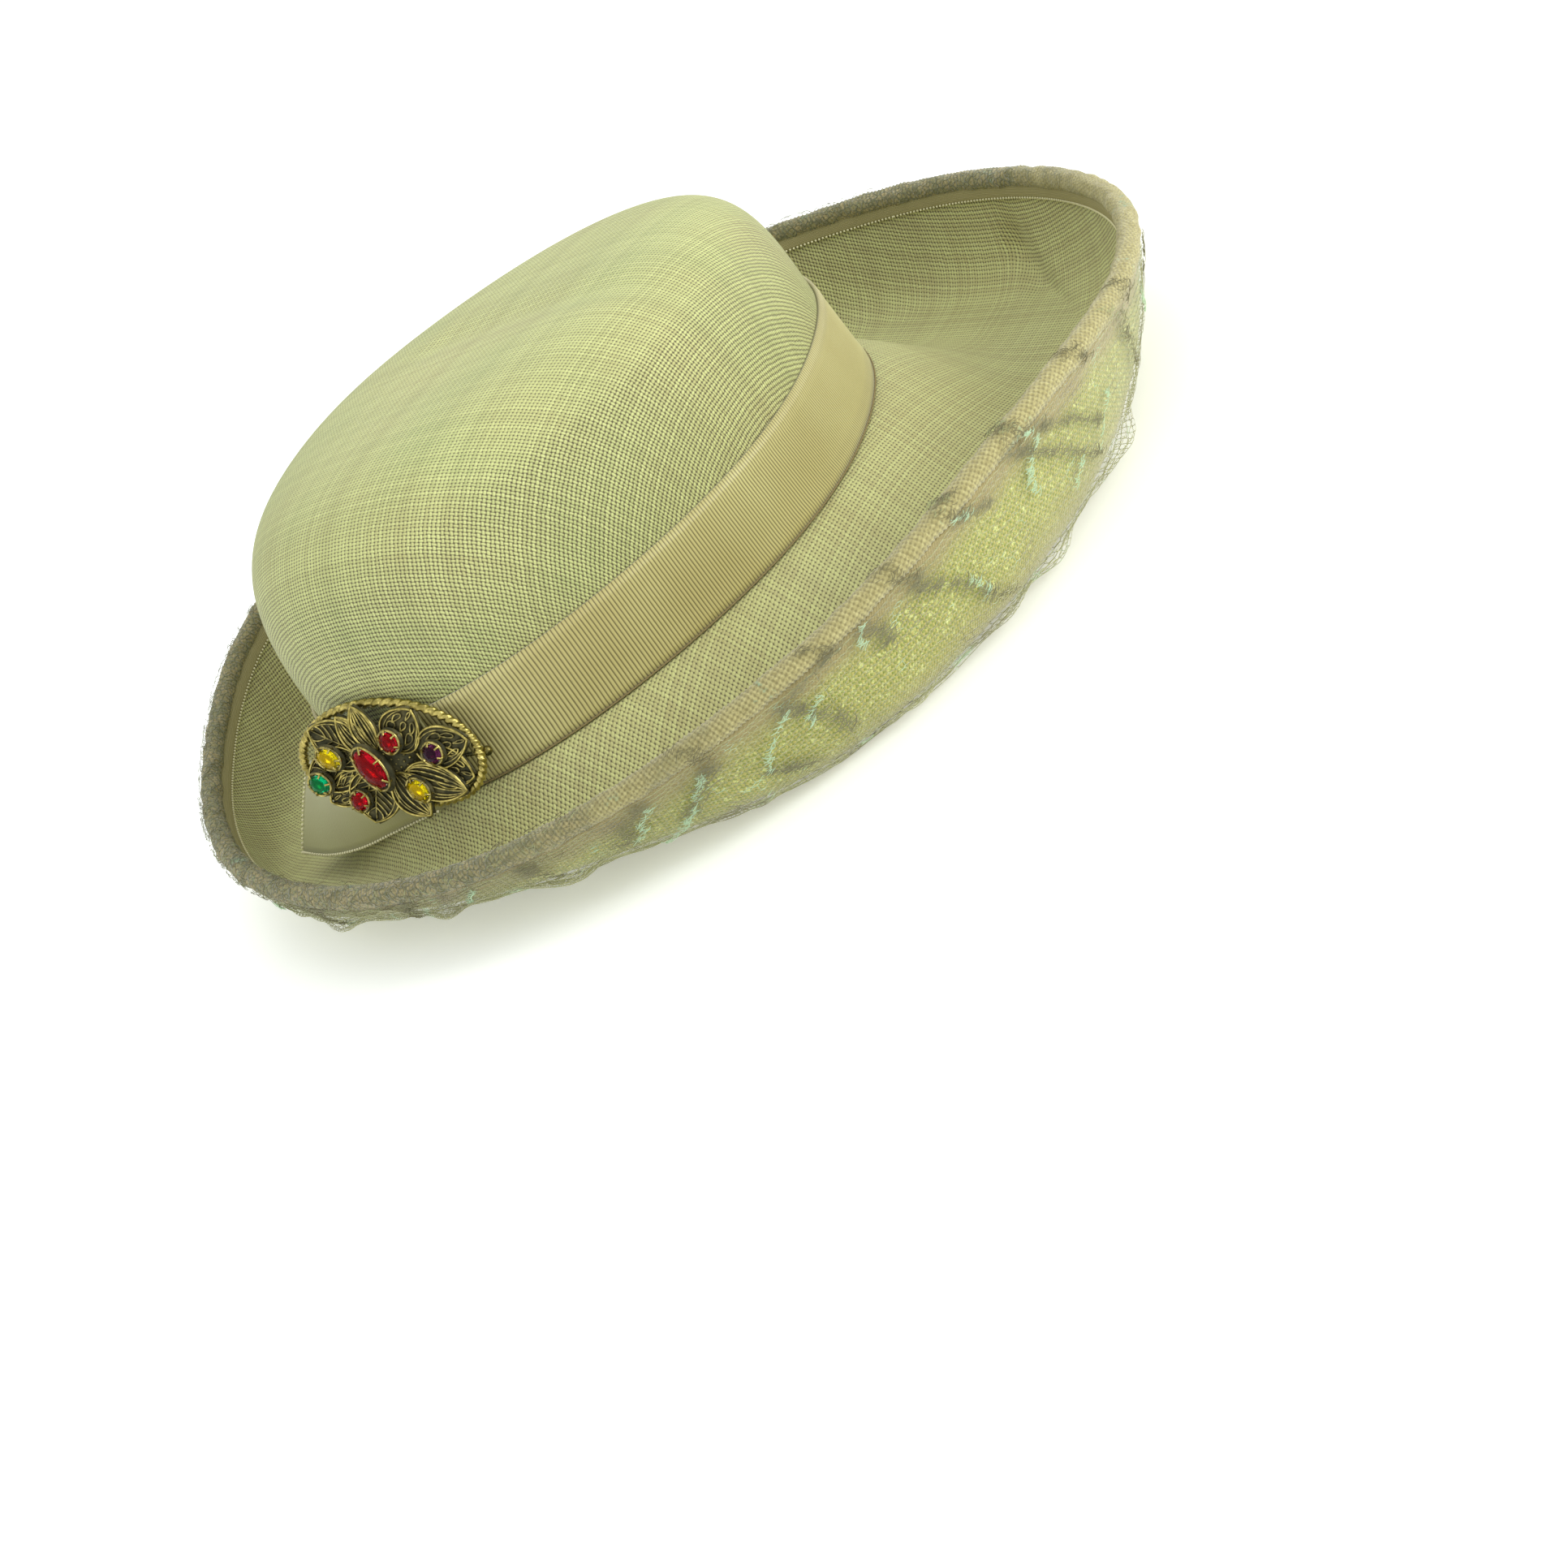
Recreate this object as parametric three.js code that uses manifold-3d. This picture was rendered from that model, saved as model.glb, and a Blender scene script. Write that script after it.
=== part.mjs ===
// A breton hat of khaki straw cloth: an oval crown, a brim that dips and then turns up all round,
// a rolled edge, a ribbon with a loose end at the back, and a brooch with seven stones on the ribbon.
// Millimetres, +Z up, the front of the hat towards -Y, the wearer's left towards +X.
import * as THREE from 'three';
import Module from 'manifold-3d';
import { mergeVertices } from 'three/addons/utils/BufferGeometryUtils.js';

const wasm = await Module();
wasm.setup();

// Head oval, measured on the outside of the ribbon at its lower edge.
const headHalfLength = 99.5;
const headHalfWidth = 78.5;
const headPinch = 0.027;

// Ribbon: a one inch grosgrain, leaning in towards its upper edge.
const ribbonHeight = 25.4;
const ribbonThickness = 1.0;
const ribbonLeanLength = 1.1;
const ribbonLeanWidth = 2.3;

// Crown: height at the middle, how much higher it is at the back, and how square its shoulder is.
const crownHeight = 75.4;
const crownBackRise = 7.1;
const crownTopForward = 3.6;
const crownSquareness = 5.07;
const crownFrontSquareness = 0.3;
const strawThickness = 1.6;

// Cloth layers of the brim, from the top down, with a gap between neighbours.
const gap = 0.3;
const layerGap = 0.4;
const clothThickness = 1.0;

// Rolled edge and the tape that lies inside it.
const rollRadius = 3.4;
const tapeWidth = 3.6;
const tapeThickness = 0.8;
const tapeLift = 0.4;

// The brim's cloth lies flat on a surface over this width at its lowest line.
const restWidth = 9.0;
const restLevel = -23.5;
const brimDropAngle = 28;
const innerFullness = 1.1;
const outerFullness = 1.2;

// Brim, clockwise from the front as seen from below: where the rim is, how much of the way out
// the lowest line lies, how low that line is, and how steeply the wall meets the rim.
const brimStations = [
  { angle: 0, reach: 167.9, height: 7.0, share: 0.55, trough: -23.5, lift: 68 },
  { angle: 30, reach: 167.9, height: 11.8, share: 0.57, trough: -23.5, lift: 68 },
  { angle: 60, reach: 163.4, height: 13.9, share: 0.59, trough: -23.5, lift: 67 },
  { angle: 90, reach: 154.8, height: 15.0, share: 0.63, trough: -23.5, lift: 66 },
  { angle: 120, reach: 141.1, height: 4.7, share: 0.65, trough: -22.5, lift: 65 },
  { angle: 150, reach: 132.1, height: -1.1, share: 0.64, trough: -16.8, lift: 62 },
  { angle: 180, reach: 127.6, height: -4.5, share: 0.62, trough: -12.3, lift: 60 },
  { angle: 210, reach: 133.5, height: -1.7, share: 0.64, trough: -15.7, lift: 62 },
  { angle: 240, reach: 148.0, height: 6.4, share: 0.69, trough: -23.5, lift: 68 },
  { angle: 270, reach: 156.8, height: 13.4, share: 0.66, trough: -23.5, lift: 65 },
  { angle: 300, reach: 164.0, height: 8.2, share: 0.58, trough: -23.5, lift: 64 },
  { angle: 330, reach: 167.1, height: 4.5, share: 0.56, trough: -23.5, lift: 69 },
];

// Loose ribbon end: its lower edge, and how far it leans in towards the crown.
const tailStations = [
  { x: -20.0, y: 98.1, z: 0.9, lean: 5 },
  { x: -8.0, y: 102.4, z: 0.2, lean: 8 },
  { x: 8.0, y: 104.8, z: -2.0, lean: 10 },
  { x: 26.0, y: 105.2, z: -5.4, lean: 20 },
  { x: 46.0, y: 102.3, z: -8.4, lean: 32 },
  { x: 65.0, y: 97.3, z: -10.0, lean: 44 },
];

// Brooch: its middle, the way it faces, and its rope ring.
const broochMiddle = new THREE.Vector3(-7.4, 103.6, 18.9);
const broochFacing = 196;
const broochLean = 20;
const broochTurn = -8.6;
const ringHalfLength = 27.9;
const ringHalfHeight = 15.9;
const ropeRadius = 1.1;
const leafThickness = 2.0;
const leafLevel = -0.4;
const leafRoot = { share: 0.2, spread: 0.7 };
const leafTip = { share: 0.75, spread: 0.62 };
const settingWall = 0.7;
const settingFloor = 0.8;
const seatBase = 2.0;
const seatRise = 0.45;
const hubHalfLength = 9;
const hubHalfHeight = 6.5;
const pinThickness = 1.2;
const pinBallRadius = 1.7;
const pinBallReach = 4;
const pinFootInset = 6;

// Leaves of the brooch, each from its root to its tip, in millimetres along and up the brooch.
const leaves = [
  { rootAlong: -4, rootUp: 3, tipAlong: -17.5, tipUp: 12.0, width: 10 },
  { rootAlong: -1, rootUp: 4, tipAlong: -4.8, tipUp: 15.2, width: 6 },
  { rootAlong: 4, rootUp: 3, tipAlong: 13.6, tipUp: 13.2, width: 9.5 },
  { rootAlong: 11, rootUp: 2, tipAlong: 26.6, tipUp: 3.4, width: 8 },
  { rootAlong: 14, rootUp: -1, tipAlong: 25.0, tipUp: -6.4, width: 8 },
  { rootAlong: 7, rootUp: -3, tipAlong: 20.5, tipUp: -12.6, width: 7 },
  { rootAlong: 3, rootUp: -4, tipAlong: 9.6, tipUp: -15.2, width: 8 },
  { rootAlong: -3, rootUp: -3, tipAlong: -7.0, tipUp: -14.4, width: 10.5 },
  { rootAlong: -6, rootUp: 0, tipAlong: -24.2, tipUp: -1.4, width: 10 },
];

// Stones: where each one sits, its half sizes and how far it is turned.
const stones = [
  { name: 'stone_red_centre', glass: 'red', along: -1.5, up: 0.1, long: 5.8, short: 3.2, turn: -60 },
  { name: 'stone_red_upper', glass: 'red', along: 5.3, up: 5.6, long: 2.7, short: 2.5, turn: -60 },
  { name: 'stone_red_lower', glass: 'red', along: -9.6, up: -8.0, long: 2.4, short: 2.4, turn: 0 },
  { name: 'stone_purple', glass: 'purple', along: 17.0, up: 0.6, long: 2.6, short: 2.5, turn: 0 },
  { name: 'stone_yellow_left', glass: 'yellow', along: -14.5, up: 4.4, long: 3.3, short: 2.4, turn: -35 },
  { name: 'stone_yellow_right', glass: 'yellow', along: 9.5, up: -7.9, long: 3.1, short: 2.3, turn: -48 },
  { name: 'stone_green', glass: 'green', along: -20.0, up: -1.7, long: 2.9, short: 2.4, turn: -30 },
];
const glassColours = { red: 0x8e1024, purple: 0x5a2a52, yellow: 0xd9b400, green: 0x0d8f4e };

// A stone's depth and, as shares of its half width and its depth, its foot, girdle and table.
const stoneDepth = 0.75;
const stoneFoot = 0.72;
const stoneTable = 0.62;
const girdleLow = 0.4;
const girdleHigh = 0.55;

// How finely the shapes are faceted.
const turnSteps = 48;
const crownSteps = 10;
const dropSteps = 3;
const wallSteps = 4;
const rollSides = 8;
const tailSteps = 12;
const ropeSteps = 48;
const ropeSides = 6;
const stoneSides = 12;
const leafSteps = 6;
const ballSides = 12;
const ballRings = 8;
const weldDistance = 1e-3;

const radians = THREE.MathUtils.degToRad;

// A value of the brim table at any angle, by a smooth curve through the neighbouring stations.
function brimValue(column, angle) {
  const count = brimStations.length;
  const place = THREE.MathUtils.euclideanModulo(angle / 360, 1) * count;
  const first = Math.floor(place);
  const part = place - first;
  const row = (step) => brimStations[(first + step + count) % count][column];
  const [before, here, next, after] = [row(-1), row(0), row(1), row(2)];
  const bend = 2 * before - 5 * here + 4 * next - after + part * (3 * (here - next) + after - before);
  return here + 0.5 * part * (next - before + part * bend);
}

// Distance from the middle of the head to an oval of the given half sizes, drawn in a little
// between its ends and its sides.
function ovalReach(angle, halfLength, halfWidth) {
  const along = Math.cos(radians(angle)) / halfLength;
  const across = Math.sin(radians(angle)) / halfWidth;
  return (1 - headPinch * Math.sin(radians(angle * 2)) ** 2) / Math.hypot(along, across);
}

// The point at a distance from the middle, an angle from the front and a height.
function pointAt(angle, reach, height) {
  return new THREE.Vector3(Math.sin(radians(angle)) * reach, -Math.cos(radians(angle)) * reach, height);
}

// Joins the points that meet and drops the triangles that close up to nothing.
function welded(geometry) {
  const merged = mergeVertices(geometry, weldDistance);
  const corners = merged.index.array;
  const kept = [];
  for (let first = 0; first < corners.length; first += 3) {
    const [a, b, c] = corners.slice(first, first + 3);
    if (a !== b && b !== c && c !== a) kept.push(a, b, c);
  }
  merged.setIndex(kept);
  return merged;
}

// A closed solid from rows of points that each go once round a cut. With isRing the last row
// joins the first one, and otherwise both end cuts are closed.
function rowsGeometry(rows, isRing) {
  const size = rows[0].length;
  const faces = [];
  const rowCount = isRing ? rows.length : rows.length - 1;
  for (let row = 0; row < rowCount; row += 1) {
    const next = (row + 1) % rows.length;
    for (let place = 0; place < size; place += 1) {
      const beside = (place + 1) % size;
      const [a, b] = [row * size + place, next * size + place];
      const [c, d] = [row * size + beside, next * size + beside];
      faces.push(a, b, c, b, d, c);
    }
  }
  if (!isRing) {
    const last = (rows.length - 1) * size;
    for (let place = 1; place < size - 1; place += 1) {
      faces.push(0, place, place + 1, last, last + place + 1, last + place);
    }
  }
  const geometry = new THREE.BufferGeometry();
  const places = rows.flat().flatMap((point) => point.toArray());
  geometry.setAttribute('position', new THREE.Float32BufferAttribute(places, 3));
  geometry.setIndex(faces);
  return welded(geometry);
}

// A closed solid all round the head, from a function that gives the cut at an angle.
function ringGeometry(cutAt) {
  const rows = [];
  for (let step = 0; step < turnSteps; step += 1) rows.push(cutAt(step * 360 / turnSteps));
  return rowsGeometry(rows, true);
}

// The brim's middle line at an angle, from the crown out to the roll: points with their upward
// normals, as distance from the middle and height.
function brimLine(angle) {
  const foot = new THREE.Vector2(ovalReach(angle, headHalfLength, headHalfWidth), 0);
  const rim = new THREE.Vector2(brimValue('reach', angle), brimValue('height', angle));
  const level = Math.max(brimValue('trough', angle), restLevel);
  const troughReach = THREE.MathUtils.lerp(foot.x, rim.x, brimValue('share', angle));
  const restIn = new THREE.Vector2(troughReach - restWidth / 2, level);
  const restOut = new THREE.Vector2(troughReach + restWidth / 2, level);
  const drop = radians(-brimDropAngle);
  const lift = radians(brimValue('lift', angle));
  const dropHandle = foot.distanceTo(restIn) * innerFullness / 3;
  const wallLength = restOut.distanceTo(rim) * outerFullness;
  const inner = new THREE.CubicBezierCurve(
    foot,
    foot.clone().add(new THREE.Vector2(Math.cos(drop), Math.sin(drop)).multiplyScalar(dropHandle)),
    restIn.clone().sub(new THREE.Vector2(dropHandle, 0)),
    restIn,
  );
  const outer = new THREE.CubicBezierCurve(
    restOut,
    restOut.clone().add(new THREE.Vector2(wallLength / 3, 0)),
    rim.clone().sub(new THREE.Vector2(Math.cos(lift), Math.sin(lift)).multiplyScalar(wallLength / 3)),
    rim,
  );
  const at = (curve, share) => {
    const tangent = curve.getTangent(share);
    return { point: curve.getPoint(share), normal: new THREE.Vector2(-tangent.y, tangent.x) };
  };
  const shareBefore = (distance) => 1 - distance / wallLength;
  return { at, inner, outer, shareBefore, foot, rim };
}

// The cut of one layer of the brim at an angle, between two distances above the middle line.
function layerCut(angle, low, high) {
  const { at, inner, outer, shareBefore, foot } = brimLine(angle);
  const hidden = ribbonThickness + gap + strawThickness;
  const line = [{ point: foot.clone().sub(new THREE.Vector2(hidden, 0)), normal: new THREE.Vector2(0, 1) }];
  for (let step = 0; step <= dropSteps; step += 1) line.push(at(inner, step / dropSteps));
  const lastShare = shareBefore(rollRadius + gap * 2);
  for (let step = 0; step <= wallSteps; step += 1) line.push(at(outer, lastShare * step / wallSteps));
  const side = (offset) => line.map(({ point, normal }) => {
    const moved = normal.clone().multiplyScalar(offset).add(point);
    return pointAt(angle, moved.x, moved.y);
  });
  return [...side(low), ...side(high).reverse()];
}

const brimTop = clothThickness / 2;
const facingTop = -brimTop - layerGap;
const netTop = facingTop - clothThickness - layerGap;

// A point of a crown-like surface: step goes from the foot to the middle of the top.
function crownPoint(angle, step, inset) {
  const turn = Math.PI / 2 * (step - Math.sin(2 * Math.PI * step) / (2 * Math.PI));
  const square = 2 / (crownSquareness + crownFrontSquareness * Math.cos(radians(angle)));
  const inward = Math.cos(turn) ** square;
  const upward = Math.sin(turn) ** square;
  const skin = ribbonThickness + gap + inset;
  const pinch = Math.sin(Math.PI / 2 * Math.min(1, upward * crownHeight / ribbonHeight));
  const halfLength = headHalfLength - skin - ribbonLeanLength * pinch;
  const halfWidth = headHalfWidth - skin - ribbonLeanWidth * pinch;
  const reach = ovalReach(angle, halfLength, halfWidth) * (step < 1 ? inward : 0);
  const point = pointAt(angle, reach, 0);
  const ribbonShare = ribbonHeight / crownHeight;
  point.y -= crownTopForward * (Math.max(0, upward - ribbonShare) / (1 - ribbonShare)) ** 2;
  const height = crownHeight - inset + crownBackRise * point.y / headHalfLength;
  point.z = Math.max(upward * height, brimTop + gap);
  return point;
}

function crownCut(angle) {
  const outside = [];
  const inside = [];
  for (let step = 0; step <= crownSteps; step += 1) {
    outside.push(crownPoint(angle, step / crownSteps, 0));
    inside.push(crownPoint(angle, step / crownSteps, strawThickness));
  }
  return [...outside, ...inside.reverse()];
}

function ribbonCut(angle) {
  const bottom = ovalReach(angle, headHalfLength, headHalfWidth);
  const top = ovalReach(angle, headHalfLength - ribbonLeanLength, headHalfWidth - ribbonLeanWidth);
  const low = brimTop + gap;
  return [
    pointAt(angle, bottom - ribbonThickness, low),
    pointAt(angle, bottom, low),
    pointAt(angle, top, low + ribbonHeight),
    pointAt(angle, top - ribbonThickness, low + ribbonHeight),
  ];
}

function rollCut(angle) {
  const { rim } = brimLine(angle);
  const cut = [];
  for (let side = 0; side < rollSides; side += 1) {
    const turn = 2 * Math.PI * side / rollSides;
    cut.push(pointAt(angle, rim.x + rollRadius * Math.cos(turn), rim.y + rollRadius * Math.sin(turn)));
  }
  return cut;
}

function tapeCut(angle) {
  const { at, outer, shareBefore } = brimLine(angle);
  const near = at(outer, shareBefore(rollRadius + gap * 4));
  const far = at(outer, shareBefore(rollRadius + gap * 4 + tapeWidth));
  const low = brimTop + tapeLift;
  const high = low + tapeThickness;
  return [[far, low], [near, low], [near, high], [far, high]].map(([{ point, normal }, offset]) => {
    const moved = normal.clone().multiplyScalar(offset).add(point);
    return pointAt(angle, moved.x, moved.y);
  });
}

// The loose ribbon end, with its lower edge along a smooth curve.
function tailGeometry() {
  const edge = new THREE.CatmullRomCurve3(tailStations.map(({ x, y, z }) => new THREE.Vector3(x, y, z)));
  const rows = [];
  for (let step = 0; step <= tailSteps; step += 1) {
    const share = step / tailSteps;
    const place = share * (tailStations.length - 1);
    const first = Math.min(Math.floor(place), tailStations.length - 2);
    const lean = radians(THREE.MathUtils.lerp(
      tailStations[first].lean,
      tailStations[first + 1].lean,
      place - first,
    ));
    const low = edge.getPoint(share);
    const run = edge.getTangent(share).setZ(0).normalize();
    const inward = new THREE.Vector3(run.y, -run.x, 0);
    const rise = inward.clone().multiplyScalar(Math.sin(lean)).setZ(Math.cos(lean));
    const front = new THREE.Vector3().crossVectors(run, rise).multiplyScalar(-ribbonThickness / 2);
    const high = low.clone().addScaledVector(rise, ribbonHeight);
    rows.push([
      low.clone().add(front),
      low.clone().sub(front),
      high.clone().sub(front),
      high.clone().add(front),
    ]);
  }
  return rowsGeometry(rows, false);
}

// A three.js geometry as a solid that can be joined, and back.
function solidOf(geometry) {
  const bare = geometry.clone();
  bare.deleteAttribute('normal');
  bare.deleteAttribute('uv');
  const merged = mergeVertices(bare, weldDistance);
  return new wasm.Manifold(new wasm.Mesh({
    numProp: 3,
    vertProperties: new Float32Array(merged.attributes.position.array),
    triVerts: new Uint32Array(merged.index.array),
  }));
}

function geometryOf(solid) {
  const mesh = solid.getMesh();
  const geometry = new THREE.BufferGeometry();
  geometry.setAttribute('position', new THREE.BufferAttribute(mesh.vertProperties, 3));
  geometry.setIndex(new THREE.BufferAttribute(mesh.triVerts, 1));
  return geometry;
}

// The rope ring of the brooch, round the brooch's middle and in its plane.
function ropeRing() {
  const rows = [];
  for (let step = 0; step < ropeSteps; step += 1) {
    const turn = 2 * Math.PI * step / ropeSteps;
    const middle = new THREE.Vector3(ringHalfLength * Math.cos(turn), ringHalfHeight * Math.sin(turn), 0);
    const outward = new THREE.Vector3(ringHalfHeight * Math.cos(turn), ringHalfLength * Math.sin(turn), 0);
    outward.normalize();
    const cut = [];
    for (let side = 0; side < ropeSides; side += 1) {
      const round = 2 * Math.PI * side / ropeSides;
      const point = middle.clone().addScaledVector(outward, ropeRadius * Math.cos(round));
      cut.push(point.setZ(ropeRadius * Math.sin(round)));
    }
    rows.push(cut);
  }
  return rowsGeometry(rows, true);
}

// One leaf: a pointed oval plate from its root to its tip.
function leafGeometry({ rootAlong, rootUp, tipAlong, tipUp, width }) {
  const run = new THREE.Vector2(tipAlong - rootAlong, tipUp - rootUp);
  const length = run.length();
  const shape = new THREE.Shape();
  const [rootPlace, tipPlace] = [length * leafRoot.share, length * leafTip.share];
  const [rootSpread, tipSpread] = [width * leafRoot.spread, width * leafTip.spread];
  shape.moveTo(0, 0);
  shape.bezierCurveTo(rootPlace, -rootSpread, tipPlace, -tipSpread, length, 0);
  shape.bezierCurveTo(tipPlace, tipSpread, rootPlace, rootSpread, 0, 0);
  const plate = new THREE.ExtrudeGeometry(shape, {
    depth: leafThickness,
    bevelEnabled: false,
    curveSegments: leafSteps,
  });
  plate.rotateZ(run.angle());
  plate.translate(rootAlong, rootUp, leafLevel);
  return plate;
}

// The height of a stone's seat above the brooch's plane: a larger stone stands higher.
function seatLevel(long) {
  return seatBase + seatRise * long;
}

// A turned shape, from a profile of distances from the axis and heights, stretched to an oval.
function ovalTurning(profile, { along, up, long, short, turn }, level) {
  const turning = new THREE.LatheGeometry(profile.map(([x, y]) => new THREE.Vector2(x, y)), stoneSides);
  turning.rotateX(Math.PI / 2);
  turning.scale(long, short, 1);
  turning.rotateZ(radians(turn));
  turning.translate(along, up, level);
  return turning;
}

// The cup that a stone sits in, from the brooch's plane up to the stone's girdle.
function settingGeometry(stone) {
  const inside = 1 + gap / stone.short;
  const outside = inside + settingWall / stone.short;
  const seat = seatLevel(stone.long);
  const rim = seat + settingFloor;
  const profile = [[0, 0], [outside, 0], [outside, rim], [inside, rim], [inside, seat], [0, seat]];
  return ovalTurning(profile, stone, 0);
}

// A cut stone: a blunt foot, a narrow girdle, and a sloping crown up to a flat table.
function stoneGeometry(stone) {
  const height = stone.short * stoneDepth;
  const profile = [
    [0, 0],
    [stoneFoot, 0],
    [1, height * girdleLow],
    [1, height * girdleHigh],
    [stoneTable, height],
    [0, height],
  ];
  return ovalTurning(profile, stone, seatLevel(stone.long) + gap);
}

function broochFrameGeometry() {
  const hub = new THREE.CylinderGeometry(1, 1, leafThickness, stoneSides * 2);
  hub.rotateX(Math.PI / 2);
  hub.scale(hubHalfLength, hubHalfHeight, 1);
  hub.translate(0, 0, leafThickness / 2);
  const pieces = [ropeRing(), hub, ...leaves.map(leafGeometry), ...stones.map(settingGeometry)];
  return geometryOf(pieces.map(solidOf).reduce((joined, piece) => joined.add(piece)));
}

// The pin behind the brooch: a straight bar with a foot on the ribbon and a ball past the ring.
function broochPinGeometry() {
  const level = -ropeRadius - gap - pinThickness / 2;
  const reach = ringHalfLength + pinBallReach;
  const bar = new THREE.BoxGeometry(reach * 2 - pinFootInset, pinThickness, pinThickness);
  bar.translate(pinFootInset / 2, 0, level);
  const ball = new THREE.SphereGeometry(pinBallRadius, ballSides, ballRings);
  ball.translate(reach, 0, level);
  return geometryOf(solidOf(bar).add(solidOf(ball)));
}

const hat = new THREE.Group();

function addPiece(name, geometry, parent, { colour, roughness, metalness = 0 }) {
  const material = new THREE.MeshStandardMaterial({ color: colour, roughness, metalness });
  const mesh = new THREE.Mesh(geometry, material);
  mesh.name = name;
  parent.add(mesh);
}

const straw = { colour: 0x9a9064, roughness: 0.85 };
const facingCloth = { colour: 0xa59f55, roughness: 0.6 };
const netCloth = { colour: 0x8f8a66, roughness: 0.9 };
const rollCloth = { colour: 0xa39369, roughness: 0.8 };
const ribbonCloth = { colour: 0x96804c, roughness: 0.6 };
const brass = { colour: 0x7a6a2c, roughness: 0.4, metalness: 1 };

function layerGeometry(top) {
  return ringGeometry((angle) => layerCut(angle, top - clothThickness, top));
}

addPiece('crown', ringGeometry(crownCut), hat, straw);
addPiece('brim', layerGeometry(brimTop), hat, straw);
addPiece('brim_facing', layerGeometry(facingTop), hat, facingCloth);
addPiece('brim_net', layerGeometry(netTop), hat, netCloth);
addPiece('edge_roll', ringGeometry(rollCut), hat, rollCloth);
addPiece('edge_tape', ringGeometry(tapeCut), hat, ribbonCloth);
addPiece('ribbon_band', ringGeometry(ribbonCut), hat, ribbonCloth);
addPiece('ribbon_tail', tailGeometry(), hat, ribbonCloth);

// The brooch stands in its own plane: along it, up it and out of its face.
const brooch = new THREE.Group();
const flat = Math.cos(radians(broochLean));
const face = pointAt(broochFacing, flat, Math.sin(radians(broochLean)));
const along = new THREE.Vector3(0, 0, 1).cross(face).normalize();
const upward = new THREE.Vector3().crossVectors(face, along);
brooch.quaternion.setFromRotationMatrix(new THREE.Matrix4().makeBasis(along, upward, face));
brooch.rotateZ(radians(broochTurn));
brooch.position.copy(broochMiddle);
hat.add(brooch);
addPiece('brooch_frame', broochFrameGeometry(), brooch, brass);
addPiece('brooch_pin', broochPinGeometry(), brooch, brass);
for (const stone of stones) {
  const glass = { colour: glassColours[stone.glass], roughness: 0.1 };
  addPiece(stone.name, stoneGeometry(stone), brooch, glass);
}

// The origin is below the middle of the hat, on the surface that it rests on.
hat.updateMatrixWorld(true);
const bounds = new THREE.Box3().setFromObject(hat, true);
const middle = bounds.getCenter(new THREE.Vector3());
hat.position.set(-middle.x, -middle.y, -bounds.min.z);

export default hat;
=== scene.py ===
# A breton hat of khaki straw cloth with a ribbon and a brooch, resting on its brim.
# The front of the hat is towards -Y, and the wearer's left towards +X.
import math
from collections import namedtuple

import bmesh
import bpy
from mathutils import Matrix, Vector, noise


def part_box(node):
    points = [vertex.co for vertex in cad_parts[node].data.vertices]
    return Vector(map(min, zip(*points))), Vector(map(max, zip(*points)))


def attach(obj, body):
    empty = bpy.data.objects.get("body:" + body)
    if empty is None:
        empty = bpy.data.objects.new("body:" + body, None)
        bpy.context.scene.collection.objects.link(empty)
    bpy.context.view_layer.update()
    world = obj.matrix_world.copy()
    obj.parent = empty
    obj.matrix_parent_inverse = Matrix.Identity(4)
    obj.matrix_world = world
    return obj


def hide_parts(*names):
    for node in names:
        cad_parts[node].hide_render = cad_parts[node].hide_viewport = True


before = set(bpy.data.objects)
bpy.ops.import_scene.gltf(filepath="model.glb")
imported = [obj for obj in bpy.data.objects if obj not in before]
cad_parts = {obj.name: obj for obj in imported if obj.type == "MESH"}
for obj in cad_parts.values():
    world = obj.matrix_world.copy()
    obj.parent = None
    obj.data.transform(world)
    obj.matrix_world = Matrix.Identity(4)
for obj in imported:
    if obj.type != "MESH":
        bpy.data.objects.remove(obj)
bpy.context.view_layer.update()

# The hat is measured from the middle of the head, at the height where the crown meets the brim.
# The ribbon goes evenly round that middle and starts a little above it. The random draws have a
# seed, so that each run lays the loose fibres the same way.
MM = 0.001
SAME_PLACE = 1e-6
RIBBON_FOOT = 0.8
NOISE_SEED = 7
noise.seed_set(NOISE_SEED)
ribbon_low, ribbon_high = (Vector(corner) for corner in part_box("ribbon_band"))
head_middle = (ribbon_low + ribbon_high) / 2
head_middle.z = ribbon_low.z - RIBBON_FOOT * MM


def on_hat(x, y, z):
    return head_middle + Vector((x, y, z)) * MM


# The camera stands behind the hat, on the wearer's right, and looks down on it with a tilt.
VIEW_TURN = math.radians(-128)
VIEW_RISE = math.radians(24.33)
VIEW_TILT = math.radians(-36.42)
VIEW_DISTANCE = 0.87027
VIEW_TARGET = on_hat(-16.32, 14.98, -71.44)
LENS = 71.78
SENSOR = 36
NEAREST = 0.01

backward = Vector((
    math.sin(VIEW_TURN) * math.cos(VIEW_RISE),
    -math.cos(VIEW_TURN) * math.cos(VIEW_RISE),
    math.sin(VIEW_RISE),
))
level_right = Vector((0, 0, 1)).cross(backward).normalized()
level_up = backward.cross(level_right)
view_right = math.cos(VIEW_TILT) * level_right + math.sin(VIEW_TILT) * level_up
view_up = math.cos(VIEW_TILT) * level_up - math.sin(VIEW_TILT) * level_right
camera_data = bpy.data.cameras.new("camera")
camera_data.lens = LENS
camera_data.sensor_width = SENSOR
camera_data.clip_start = NEAREST
camera = bpy.data.objects.new("camera", camera_data)
camera.matrix_world = Matrix((view_right, view_up, backward)).transposed().to_4x4()
camera.location = VIEW_TARGET + backward * VIEW_DISTANCE
bpy.context.scene.collection.objects.link(camera)
bpy.context.scene.camera = camera
bpy.context.scene.view_settings.view_transform = "Standard"


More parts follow.
